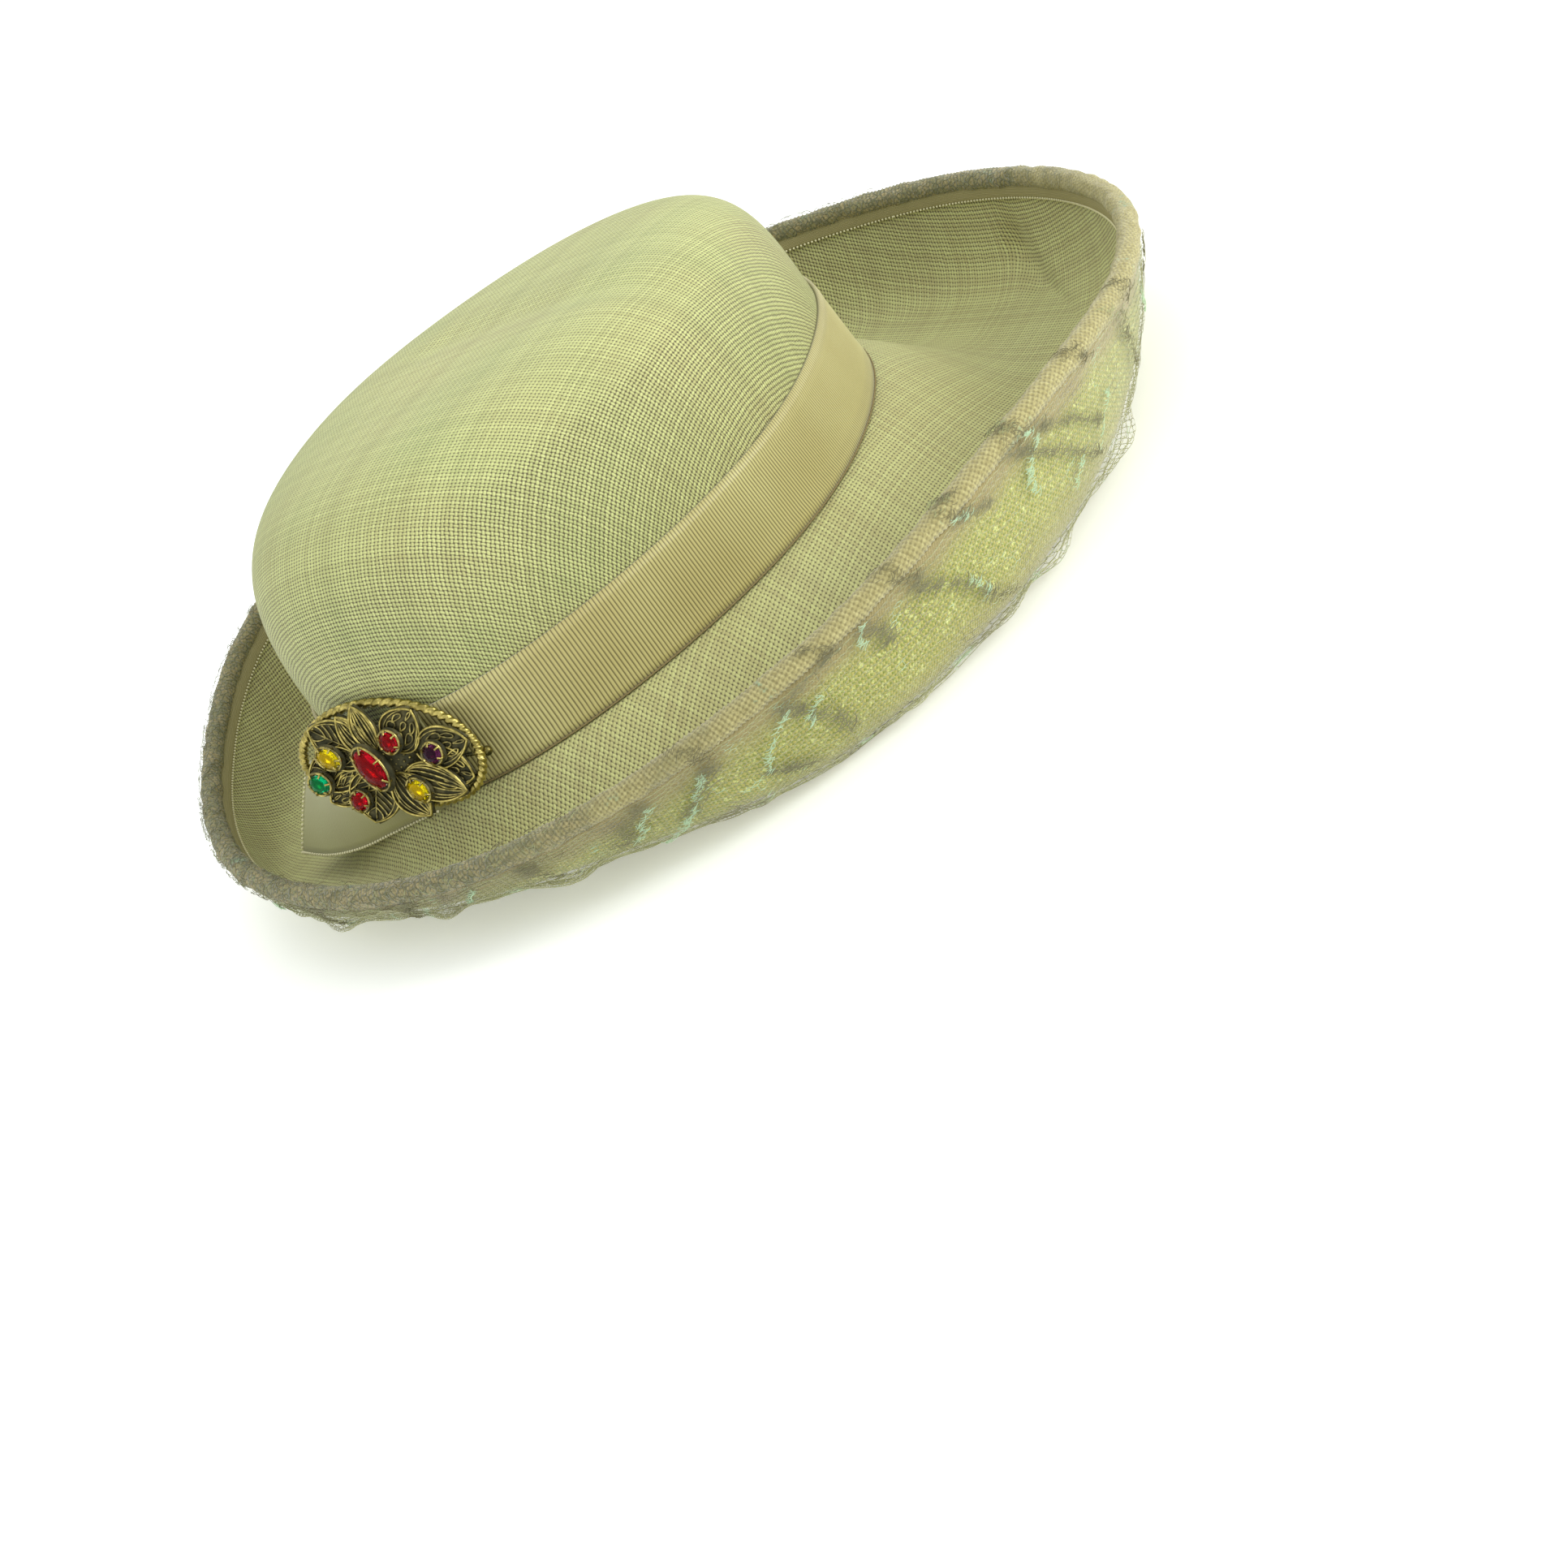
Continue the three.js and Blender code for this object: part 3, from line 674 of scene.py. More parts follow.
def net_piece(material, number, stretch):
    """One third of the way round of a stretch of net, between two shares of the way to the rim."""
    start, end = (360 * edge / NET_PARTS for edge in (number, number + 1))
    columns, rows = stretch.cells * 2, stretch.rows
    bm = bmesh.new()
    bmesh.ops.create_grid(bm, x_segments=columns, y_segments=rows, size=0.5)
    spots = {vert: ((vert.co.x + 0.5) * columns, (vert.co.y + 0.5) * rows) for vert in bm.verts}
    closed = []
    for edge in bm.edges:
        column, row = (round(min(pair)) for pair in zip(*(spots[vert] for vert in edge.verts)))
        across = abs(edge.verts[0].co.x - edge.verts[1].co.x) < SAME_PLACE
        if across and (column + row) % 2 and not edge.is_boundary:
            closed.append(edge)
    bmesh.ops.dissolve_edges(bm, edges=closed)
    cuts = {}
    for vert in bm.verts:
        column, row = spots[vert]
        angle = start + (end - start) * column / columns
        if round(column) not in cuts:
            cuts[round(column)] = brim_cut(angle, NET_OUTSIDE)
        zigzag = NET_ZIGZAG * (-1) ** (round(column) + round(row))
        share = stretch.low + (stretch.high - stretch.low) * min(max(row + zigzag, 0), rows) / rows
        spot = point_on_line(cuts[round(column)], share)
        uneven = Vector(part / size for part, size in zip((column, row, end), NET_NOISE))
        out = NET_WAVE * noise.noise(uneven) + NET_STEP * (-1) ** round(row)
        for bulge in NET_BULGES:
            aside = (angle - bulge.angle) / bulge.width
            below = (share - bulge.share) / bulge.depth
            out += bulge.height * math.exp(-aside * aside - below * below)
        vert.co = point_at(angle, spot.x + out * BULGE_SPREAD, max(spot.y - abs(out), NET_LOWEST))
    threads = dict(thickness=NET_THREAD * MM, use_replace=True, use_boundary=True)
    bmesh.ops.wireframe(bm, faces=bm.faces, **threads)
    return new_piece(f"{stretch.name}_{number + 1}", bm, material, ["brim_net"])


NET_PARTS = 3
tulle = net_material()
for part in range(NET_PARTS):
    for stretch in NET_STRETCHES:
        net_piece(tulle, part, stretch)


# Rolled edge: a wire wrapped in soft cloth, with fine slanting ribs crossed by beads, and lumps.
# It is pinkish beige on the wearer's right, and greyer elsewhere, with the net's meshes over it.
ROLL_RIBS = 700
ROLL_STEPS = 4
ROLL_SIDES = 20
ROLL_RELIEF = 0.24
ROLL_LUMPS = 0.5
LUMP_COUNT = 30
LUMP_CHANGE = 1.5
ROLL_SLANT = 5
ROLL_PINK = (0.33, 0.28, 0.105)
ROLL_GREY = (0.26, 0.255, 0.12)
ROLL_BROWN = (0.42, 0.345, 0.17)
ROLL_PALE = (0.58, 0.53, 0.245)
ROLL_THREAD = (0.13, 0.145, 0.075)
ROLL_MESHES = 560
ROLL_BEADS = 15
ROLL_MINT = (0.30, 0.42, 0.26)
ROLL_SHADE = (0.25, 0.215, 0.085)
ROLL_ROUGHNESS = 0.85
ROLL_SHEEN = [("Sheen Weight", 0.35)]
SIDE_CLOUD = (45, 4, 0.6)
SIDE_WANDER = 0.08
SIDE_EDGES = (-0.1, -0.05)
FUZZ_CLOUD = (900, 4, 0.75)
WORN_CLOUD = (210, 3, 0.6)
WORN_EDGES = (0.88, 1.12)
PALE_EDGES = (0.35, 0.7)
BIT_CLOUD = (95, 4, 0.7)
BIT_EDGES = (0.62, 0.7)
BEAD_EDGES = (-1.3, 1.3)
MESH_EDGES = (0.16, 0.02)
MESH_SHARE = 0.7
FUZZ_RELIEF = 0.35


def ring_tube(around, sides, middle_at, radius_at):
    """A closed tube all round the head, from its middle line and its radius at each point."""
    bm = bmesh.new()
    spread = bm.loops.layers.uv.new("weave")
    bmesh.ops.create_grid(bm, x_segments=around, y_segments=sides, size=0.5)
    middles = [middle_at(360 * column / around) for column in range(around)]
    places = {}
    for vert in bm.verts:
        column = round((vert.co.x + 0.5) * around)
        side = round((vert.co.y + 0.5) * sides)
        turn = 2 * math.pi * side / sides
        reach, height = middles[column % around]
        radius = radius_at(column % around, turn)
        places[vert] = (column / around, side / sides)
        angle = 360 * column / around
        vert.co = point_at(angle, reach + radius * math.cos(turn), height + radius * math.sin(turn))
    for face in bm.faces:
        for loop in face.loops:
            loop[spread].uv = places[loop.vert]
    bmesh.ops.remove_doubles(bm, verts=bm.verts, dist=SAME_PLACE)
    bmesh.ops.recalc_face_normals(bm, faces=bm.faces)
    return bm


def roll_radius(column, turn):
    angle = 2 * math.pi * column / (ROLL_RIBS * ROLL_STEPS)
    ribs = ROLL_RELIEF * math.cos(ROLL_RIBS * angle + ROLL_SLANT * turn)
    around = (LUMP_COUNT * math.cos(angle), LUMP_COUNT * math.sin(angle))
    around_head = Vector((*around, LUMP_CHANGE * math.cos(turn)))
    lumps = ROLL_LUMPS * noise.noise(around_head)
    return ROLL_RADIUS - ROLL_RELIEF - ROLL_LUMPS / 2 + ribs + lumps


def rim_middle(angle):
    return brim_value("reach", angle), brim_value("height", angle)


def roll_material():
    material, tree, shader = new_material("rolled_edge_cloth", ROLL_PINK, ROLL_ROUGHNESS, extra=ROLL_SHEEN)
    place = add_node(tree, "ShaderNodeTexCoord").outputs["Object"]
    patch = calculate(tree, "MULTIPLY_ADD", cloud(tree, *SIDE_CLOUD), SIDE_WANDER * 2, -SIDE_WANDER)
    to_left = step_between(tree, calculate(tree, "ADD", parts_of(tree, place)[0], patch), *SIDE_EDGES)
    fuzz = cloud(tree, *FUZZ_CLOUD)
    worn = calculate(tree, "ADD", fuzz, cloud(tree, *WORN_CLOUD))
    grey = colour_between(tree, step_between(tree, worn, *WORN_EDGES), ROLL_GREY, ROLL_BROWN)
    pink = colour_between(tree, step_between(tree, fuzz, *PALE_EDGES), ROLL_PINK, ROLL_PALE)
    mint = step_between(tree, cloud(tree, *BIT_CLOUD), *BIT_EDGES)
    mottled = colour_between(tree, mint, colour_between(tree, to_left, pink, grey), ROLL_MINT)
    along, around = thread_counts(tree)
    slant = calculate(tree, "MULTIPLY", around, 2 * math.pi * ROLL_SLANT)
    rib = calculate(tree, "MULTIPLY_ADD", along, 2 * math.pi * ROLL_RIBS, slant)
    back = calculate(tree, "MULTIPLY", along, -math.pi * ROLL_RIBS)
    bead = calculate(tree, "MULTIPLY_ADD", around, 2 * math.pi * ROLL_BEADS, back)
    bumps = calculate(tree, "ADD", calculate(tree, "COSINE", rib), calculate(tree, "COSINE", bead))
    raised = step_between(tree, calculate(tree, "ADD", bumps, fuzz), *BEAD_EDGES)
    ribbed = colour_between(tree, raised, ROLL_SHADE, mottled)
    inputs = (("Vector", place), ("Scale", ROLL_MESHES))
    meshes = add_node(tree, "ShaderNodeTexVoronoi", inputs, feature="DISTANCE_TO_EDGE").outputs["Distance"]
    share = calculate(tree, "MULTIPLY", to_left, MESH_SHARE)
    thread = calculate(tree, "MULTIPLY", step_between(tree, meshes, *MESH_EDGES), share)
    tree.links.new(colour_between(tree, thread, ribbed, ROLL_THREAD), shader.inputs["Base Color"])
    raise_surface(tree, shader, calculate(tree, "ADD", fuzz, thread), FUZZ_RELIEF)
    return material


roll_mesh = ring_tube(ROLL_RIBS * ROLL_STEPS, ROLL_SIDES, rim_middle, roll_radius)
new_piece("rolled_edge", roll_mesh, roll_material(), ["edge_roll"])


# Ribbon: a one inch grosgrain with fine upright ribs, drawn tight round the crown's foot.
# Each rib is in the mesh, and a corded selvedge runs along both edges. The grooves between the ribs are
# darkened with painted shade.
RIBS = 512
RIB_STEPS = (0.0, 0.75, 1.0, 0.75)
RIB_RELIEF = 0.22
RIBBON_ROWS = 10
SELVEDGE = 0.11
SELVEDGE_RELIEF = 0.16
RIBBON_GOLD = (0.49, 0.425, 0.16)
RIBBON_GROOVE_SHADE = (0.11, 0.085, 0.027)
RIBBON_PALE = (0.58, 0.53, 0.225)
RIBBON_ROUGHNESS = 0.5
RIBBON_LOOK = [("Sheen Weight", 0.3), ("Anisotropic", 0.4)]
RIBBON_CLOUD = (25, 3)
RIBBON_EDGES = (0.35, 0.7)
RIB_EDGES = (0.15, 0.75)
RIB_SHADE = 0.9
SATIN_SHADE = 0.08
GRAIN_CLOUD = (1800, 2)
GRAIN_RELIEF = 0.05
SELVEDGE_RIBS = 0.4
# The satin end's colours: greener than the band's, and darkened with painted shade.
SATIN_SHADED_LOW = (0.29, 0.27, 0.10)
SATIN_SHADED_HIGH = (0.33, 0.325, 0.125)


def ribbon_cut(angle):
    bottom = oval_reach(angle, HEAD_HALF_LENGTH, HEAD_HALF_WIDTH)
    top = oval_reach(angle, HEAD_HALF_LENGTH - RIBBON_LEAN_LENGTH, HEAD_HALF_WIDTH - RIBBON_LEAN_WIDTH)
    column = round(angle / 360 * RIBS * len(RIB_STEPS))
    rib = RIB_RELIEF * (RIB_STEPS[column % len(RIB_STEPS)] - 1)
    line = []
    for row in range(RIBBON_ROWS + 1):
        share = row / RIBBON_ROWS
        edge = min(share, 1 - share)
        out = rib if edge > SELVEDGE else rib * SELVEDGE_RIBS + SELVEDGE_RELIEF * (edge > 0)
        line.append(Vector((bottom + (top - bottom) * share + out, RIBBON_FOOT + RIBBON_HEIGHT * share)))
    return line


def ribbon_threads(angle, spot, length):
    return angle / 360 * RIBS, (spot.y - RIBBON_FOOT) / RIBBON_HEIGHT


def ribbon_material(name, shade, low, high):
    material, tree, shader = new_material(name, RIBBON_GOLD, RIBBON_ROUGHNESS, extra=RIBBON_LOOK)
    count = calculate(tree, "MULTIPLY", thread_counts(tree)[0], math.pi)
    rib = calculate(tree, "ABSOLUTE", calculate(tree, "SINE", count))
    lit = colour_between(tree, step_between(tree, cloud(tree, *RIBBON_CLOUD), *RIBBON_EDGES), low, high)
    # Painted shade: the colour darkens in the grooves between the ribs.
    deep = calculate(tree, "MULTIPLY_ADD", step_between(tree, rib, *RIB_EDGES), shade, 1 - shade)
    tree.links.new(colour_between(tree, deep, RIBBON_GROOVE_SHADE, lit), shader.inputs["Base Color"])
    raise_surface(tree, shader, cloud(tree, *GRAIN_CLOUD), GRAIN_RELIEF)
    return material


grosgrain = ribbon_material("grosgrain", RIB_SHADE, RIBBON_GOLD, RIBBON_PALE)
ribbon_mesh = ring_cloth(RIBS * len(RIB_STEPS), RIBBON_ROWS, ribbon_cut, ribbon_threads)
ribbon = new_piece("ribbon", ribbon_mesh, grosgrain, ["ribbon_band"])
thicken(ribbon, RIBBON_THICKNESS)

# The ribbon's lower edge is stitched down: an uneven twisted thread lies along it, coloured dark as painted
# shade for the shadow line under the edge.
STITCHES = 300
STITCH_STEPS = 5
STITCH_RADIUS = 0.22
STITCH_SHADOW_COLOUR = (0.23, 0.175, 0.07)
STITCH_TWIST = 0.35
STITCH_OUT = 0.15
STITCH_UP = 0.35
STITCH_SIDES = 6
STITCH_ROUGHNESS = 0.8


def stitch_middle(angle):
    reach = oval_reach(angle, HEAD_HALF_LENGTH + STITCH_OUT, HEAD_HALF_WIDTH + STITCH_OUT)
    return reach, RIBBON_FOOT + STITCH_UP


def stitch_radius(column, turn):
    return STITCH_RADIUS * (1 + STITCH_TWIST * math.sin(2 * math.pi * column / STITCH_STEPS + turn))


# Painted shade: the thread's dark colour stands in for the shadow under the ribbon's edge.
stitch_thread_and_shadow = new_material("stitch_thread_and_shadow", STITCH_SHADOW_COLOUR, STITCH_ROUGHNESS)[0]
stitch_mesh = ring_tube(STITCHES * STITCH_STEPS, STITCH_SIDES, stitch_middle, stitch_radius)
new_piece("ribbon_stitching_and_shadow", stitch_mesh, stitch_thread_and_shadow)


# Edge tape: a narrow tape sewn inside the rolled edge, with a row of small picots along it. Its weave is
# darkened in the dips with painted shade.
TAPE_WIDTH = 4.2
TAPE_LOW = ROLL_RADIUS / 2
TAPE_TOP = 1.35
TAPE_ROWS = 6
TAPE_BOW = 0.35
TAPE_THICKNESS = 0.6
TAPE_COLOUR = (0.42, 0.38, 0.17)
TAPE_DIP_SHADE = (0.15, 0.13, 0.055)
TAPE_LIGHT = (0.44, 0.39, 0.175)
TAPE_ROUGHNESS = 0.75
TAPE_SWING = 0.4
TAPE_SHADE_RANGE = (0.6, 0.2)
TAPE_RELIEF = 0.2
TAPE_THREADS = 6
PICOT_COLOUR = (0.78, 0.74, 0.48)
PICOT_ROUGHNESS = 0.7
PICOT_RADIUS = 0.4
PICOT_PITCH = 1.4
PICOT_LIFT = 0.1


def tape_point(angle, distance, offset):
    _, up, wall = brim_curves(angle)
    point, normal = bezier(up, 1 - distance / wall)
    return point + normal * offset


def tape_cut(angle):
    line = []
    for row in range(TAPE_ROWS + 1):
        share = row / TAPE_ROWS
        bow = TAPE_BOW * math.sin(math.pi * share)
        line.append(tape_point(angle, TAPE_LOW + TAPE_WIDTH * (1 - share), TAPE_TOP + bow))
    return line


def tape_threads(angle, spot, length):
    return angle * TAPE_THREADS, length


def tape_material():
    material, tree, shader = new_material("edge_tape", TAPE_COLOUR, TAPE_ROUGHNESS)
    around, across = thread_counts(tree)
    height, _ = woven_height(tree, around, calculate(tree, "MULTIPLY", across, 2), TAPE_SWING)
    # Painted shade: the weave's colour darkens where its threads dip.
    unshaded_share = calculate(tree, "MULTIPLY_ADD", height, *TAPE_SHADE_RANGE)
    tree.links.new(colour_between(tree, unshaded_share, TAPE_DIP_SHADE, TAPE_LIGHT), shader.inputs["Base Color"])
    raise_surface(tree, shader, height, TAPE_RELIEF)
    return material


def picot_row(name, spots, radius):
    bm = bmesh.new()
    for spot in spots:
        place = Matrix.Translation(spot)
        bmesh.ops.create_icosphere(bm, subdivisions=1, radius=radius * MM, matrix=place)
    new_piece(name, bm, picot_thread)


tape_mesh = ring_cloth(BRIM_AROUND, TAPE_ROWS, tape_cut, tape_threads, True)
edge_tape = new_piece("edge_tape_cloth", tape_mesh, tape_material(), ["edge_tape"])
thicken(edge_tape, TAPE_THICKNESS)

picot_thread = new_material("picot_thread", PICOT_COLOUR, PICOT_ROUGHNESS)[0]
picot_spots = []
picot_turn = 0.0
while picot_turn < 360:
    place = tape_point(picot_turn, TAPE_LOW + TAPE_WIDTH, TAPE_TOP + PICOT_LIFT)
    picot_spots.append(point_at(picot_turn, *place))
    picot_turn += math.degrees(PICOT_PITCH / place.x)
picot_row("tape_picots", picot_spots, PICOT_RADIUS)


# Ribbon end: the loose end of the ribbon leaves the brooch and lies over the brim at the back.
# It is smoother than the band, with a row of tiny picots along its cut end and its lower edge. Its satin
# colours are greener than the band's and darkened with painted shade.
TailStation = namedtuple("TailStation", "x y z lean")
TAIL_STATIONS = (
    TailStation(-20.0, 98.1, 0.9, 5),
    TailStation(-8.0, 102.4, 0.2, 8),
    TailStation(8.0, 104.8, -2.0, 10),
    TailStation(26.0, 105.2, -5.4, 20),
    TailStation(46.0, 102.3, -8.4, 32),
    TailStation(65.0, 97.3, -10.0, 44),
)
TAIL_STEPS = 90
TAIL_ROWS = 12
TAIL_RIBS = 84
TAIL_CURL = 0.5
TAIL_NEAR = 0.01
TAIL_THICKNESS = 0.7
TAIL_PICOT = 0.45
TAIL_PICOT_LIFT = 0.2
TAIL_PICOTS_LONG = 66
TAIL_PICOTS_HIDDEN = 12
TAIL_PICOTS_HIGH = 20


def tail_value(column, share):
    place = share * (len(TAIL_STATIONS) - 1)
    first = min(int(place), len(TAIL_STATIONS) - 2)
    last = len(TAIL_STATIONS) - 1
    rows = [getattr(TAIL_STATIONS[min(max(first + step, 0), last)], column) for step in (-1, 0, 1, 2)]
    return smooth_value(*rows, place - first)


def tail_point(share, rise, out=0.0):
    """A point of the loose end: share goes along it, and rise from its lower edge to its upper."""
    low = Vector([tail_value(column, share) for column in "xyz"])
    near = Vector([tail_value(column, share + TAIL_NEAR) for column in "xyz"])
    far = Vector([tail_value(column, share - TAIL_NEAR) for column in "xyz"])
    run = (near - far) * Vector((1, 1, 0))
    run.normalize()
    lean = math.radians(tail_value("lean", share))
    up = Vector((run.y, -run.x, 0)) * math.sin(lean) + Vector((0, 0, math.cos(lean)))
    outward = up.cross(run)
    curl = TAIL_CURL * math.sin(math.pi * rise) * share
    return low + up * RIBBON_HEIGHT * rise + outward * (out + TAIL_CURL + curl)


tail_mesh = bmesh.new()
tail_weave = tail_mesh.loops.layers.uv.new("weave")
bmesh.ops.create_grid(tail_mesh, x_segments=TAIL_STEPS, y_segments=TAIL_ROWS, size=0.5)
tail_places = {vert: (vert.co.x + 0.5, vert.co.y + 0.5) for vert in tail_mesh.verts}
for face in tail_mesh.faces:
    for loop in face.loops:
        share, rise = tail_places[loop.vert]
        loop[tail_weave].uv = (share * TAIL_RIBS, rise)
for vert, (share, rise) in tail_places.items():
    vert.co = on_hat(*tail_point(share, rise))
bmesh.ops.recalc_face_normals(tail_mesh, faces=tail_mesh.faces)
if tail_mesh.faces[0].normal.dot(Vector((0, 1, 0))) < 0:
    bmesh.ops.reverse_faces(tail_mesh, faces=tail_mesh.faces)
# Painted shade: the satin side is coloured darker than the band for the shade it lies in.
satin = ribbon_material("shaded_satin_side_of_ribbon", SATIN_SHADE, SATIN_SHADED_LOW, SATIN_SHADED_HIGH)
tail = new_piece("ribbon_end", tail_mesh, satin, ["ribbon_tail"])
thicken(tail, TAIL_THICKNESS)

tail_edge = [(step / TAIL_PICOTS_LONG, 0.0) for step in range(TAIL_PICOTS_HIDDEN, TAIL_PICOTS_LONG + 1)]
tail_edge += [(1.0, step / TAIL_PICOTS_HIGH) for step in range(1, TAIL_PICOTS_HIGH + 1)]
tail_spots = [on_hat(*tail_point(share, rise, TAIL_PICOT_LIFT)) for share, rise in tail_edge]
picot_row("ribbon_end_picots", tail_spots, TAIL_PICOT)


# Brooch: an oval ring of twisted rope with eleven leaves of wire work, in antique brass.
# It is drawn in its own plane, then placed on the ribbon: along it, up it and out of its face.
BROOCH_MIDDLE = Vector((-7.4, 103.6, 18.9))
BROOCH_FACING = math.radians(196)
BROOCH_LEAN = math.radians(20)
BROOCH_TURN = math.radians(-8.6)
RING_MIDDLE = Vector((1.2, 0.1, 0))
RING_TURN = math.radians(-9)
RING_HALF_LENGTH = 27.2
RING_HALF_HEIGHT = 15.3
RING_TUCK_TURN = 262
RING_TUCK_WIDTH = 54
RING_TUCK = 0.17
RING_TUCK_LEVEL = 1.3
ROPE_RADIUS = 1.3
ROPE_TWISTS = 64
ROPE_STEPS = 12
ROPE_SIDES = 14
BRASS_BRIGHT = (0.64, 0.53, 0.17)
BRASS_WORN = (0.28, 0.23, 0.065)
BRASS_DULL = (0.15, 0.13, 0.055)
BRASS_DARK = (0.05, 0.048, 0.022)
WEAR_CLOUD = (4, 0.65)
WEAR_EDGES = (0.42, 0.66)
BRASS_CLOUD = (2600, 3)
BRASS_RELIEF = 0.08
DARK_METALLIC = 0.7
Finish = namedtuple("Finish", "roughness wear_scale")
BRIGHT_FINISH = Finish(0.33, 420)
OLD_FINISH = Finish(0.35, 380)
DARK_FINISH = Finish(0.6, 240)
PIN_FINISH = Finish(0.25, 300)
STRAND_DEPTH = 0.4
WELD = 1e-4

brooch_face = Vector((
    math.sin(BROOCH_FACING) * math.cos(BROOCH_LEAN),
    -math.cos(BROOCH_FACING) * math.cos(BROOCH_LEAN),
    math.sin(BROOCH_LEAN),
))
brooch_along = Vector((0, 0, 1)).cross(brooch_face).normalized()
brooch_up = brooch_face.cross(brooch_along)
brooch_place = (
    Matrix.Translation(on_hat(*BROOCH_MIDDLE))
    @ Matrix((brooch_along, brooch_up, brooch_face)).transposed().to_4x4()
    @ Matrix.Rotation(BROOCH_TURN, 4, "Z")
    @ Matrix.Scale(MM, 4)
)


def brass_material(name, low, high, finish, metallic=1.0):
    """Metal with brighter worn places."""
    material, tree, shader = new_material(name, high, finish.roughness, metallic)
    wear = step_between(tree, cloud(tree, finish.wear_scale, *WEAR_CLOUD), *WEAR_EDGES)
    tree.links.new(colour_between(tree, wear, low, high), shader.inputs["Base Color"])
    raise_surface(tree, shader, cloud(tree, *BRASS_CLOUD), BRASS_RELIEF)
    return material


bright_brass = brass_material("bright_brass", BRASS_WORN, BRASS_BRIGHT, BRIGHT_FINISH)
old_brass = brass_material("old_brass", BRASS_DULL, BRASS_BRIGHT, OLD_FINISH)
dark_brass = brass_material("dark_brass", BRASS_DARK, BRASS_DULL, DARK_FINISH, DARK_METALLIC)

rope_mesh = bmesh.new()
bmesh.ops.create_grid(rope_mesh, x_segments=ROPE_TWISTS * ROPE_STEPS, y_segments=ROPE_SIDES, size=0.5)
for vert in rope_mesh.verts:
    turn = 2 * math.pi * (vert.co.x + 0.5)
    side = 2 * math.pi * (vert.co.y + 0.5)
    strands = abs(math.cos(side - turn * ROPE_TWISTS / 2))
    radius = ROPE_RADIUS * (1 - STRAND_DEPTH + STRAND_DEPTH * strands)
    aside = (math.degrees(turn) - RING_TUCK_TURN) / RING_TUCK_WIDTH
    tuck = math.exp(-aside ** 4)
    outward = Vector((math.cos(turn) / RING_HALF_LENGTH, math.sin(turn) / RING_HALF_HEIGHT, 0)).normalized()
    middle = Vector((math.cos(turn) * RING_HALF_LENGTH, math.sin(turn) * RING_HALF_HEIGHT, 0))
    middle = middle * (1 - RING_TUCK * tuck) - Vector((0, 0, RING_TUCK_LEVEL * tuck))
    spot = middle + (outward * math.cos(side) + Vector((0, 0, 1)) * math.sin(side)) * radius
    vert.co = RING_MIDDLE + Matrix.Rotation(RING_TURN, 3, "Z") @ spot
bmesh.ops.remove_doubles(rope_mesh, verts=rope_mesh.verts, dist=WELD)
bmesh.ops.recalc_face_normals(rope_mesh, faces=rope_mesh.faces)
bmesh.ops.transform(rope_mesh, matrix=brooch_place, verts=rope_mesh.verts)
new_piece("brooch_rope_ring", rope_mesh, bright_brass, ["brooch_frame"])

# Leaves: a dark plate under each, cupped towards its edges, and three kinds of wire work on it.
# Veined ones have a midrib, folded ones long curved wires, and open ones drop-shaped loops.
Leaf = namedtuple("Leaf", "kind root tip width level")
LEAVES = (
    Leaf("veined", (-3, 2), (-20.0, 12.2), 13, 0.8),
    Leaf("folded", (-2, 3), (-9.6, 14.2), 7, 1.5),
    Leaf("folded", (0, 4), (-3.6, 16.2), 7, 2.0),
    Leaf("open", (4, 3), (13.2, 12.2), 12, 0.9),
    Leaf("open", (11, 1.5), (27.2, 2.0), 11, 1.3),
    Leaf("open", (13, -1), (25.4, -7.6), 11, 0.7),
    Leaf("folded", (6, -3), (22.6, -10.6), 10, 1.7),
    Leaf("folded", (2, -3), (9.4, -15.2), 10, 1.4),
    Leaf("veined", (-3, -1), (-8.6, -14.6), 15, 0.8),
    Leaf("veined", (-6, 1), (-24.4, 0.6), 12, 0.6),
    Leaf("open", (-6, -2), (-20.6, -7.4), 9, 0.3),
)
LEAF_ROOT = (0.2, 0.7)
LEAF_TIP = (0.75, 0.62)
LEAF_CUP = 0.8
LEAF_RISE = 0.7
PLATE_THICKNESS = 0.9
EDGE_WIRE = 0.31
INNER_WIRE = 0.26
FINE_WIRE = 0.24
LINE_STEPS = 14
PLATE_GRID = (14, 6)
PLATE_INSET = 0.02
EDGE_LIFT = 0.2
INNER_EDGE = (0.08, 0.93, 0.8, 0.15)
MIDRIB = (0.05, 0.95, 0.25)
VEINS = 7
VEIN_START = 0.12
VEIN_SPAN = 0.68
VEIN_RUN = (0.17, 0.72, 0.35)
FOLD_ENDS = (0.06, 0.96)
FOLD_LIFT = (0.7, 0.4)
FOLDS = (-0.62, -0.3, 0.05, 0.36, 0.66)
LOOPS = (
    (0.44, 0.5, 0.13), (0.44, -0.5, 0.13), (0.66, 0.5, 0.11),
    (0.66, -0.5, 0.11), (0.34, 0.0, 0.12), (0.82, 0.0, 0.1), (0.58, 0.0, 0.1),
)
LOOP_SHARPNESS = 1.5
LOOP_LIFT = 0.45


def leaf_spot(leaf, share, across, lift=0.0):
    """A place on a leaf: share goes from root to tip, and across from one edge to the other."""
    root = Vector(leaf.root)
    run = Vector(leaf.tip) - root
    near = 3 * (1 - share) ** 2 * share
    far = 3 * (1 - share) * share**2
    along = near * LEAF_ROOT[0] + far * LEAF_TIP[0] + share**3
    spread = (near * LEAF_ROOT[1] + far * LEAF_TIP[1]) * leaf.width * across
    flat = root + run * along + Vector((-run.y, run.x)).normalized() * spread
    level = leaf.level + LEAF_CUP * across * across + LEAF_RISE * math.sin(math.pi * along) + lift
    return Vector((flat.x, flat.y, level))


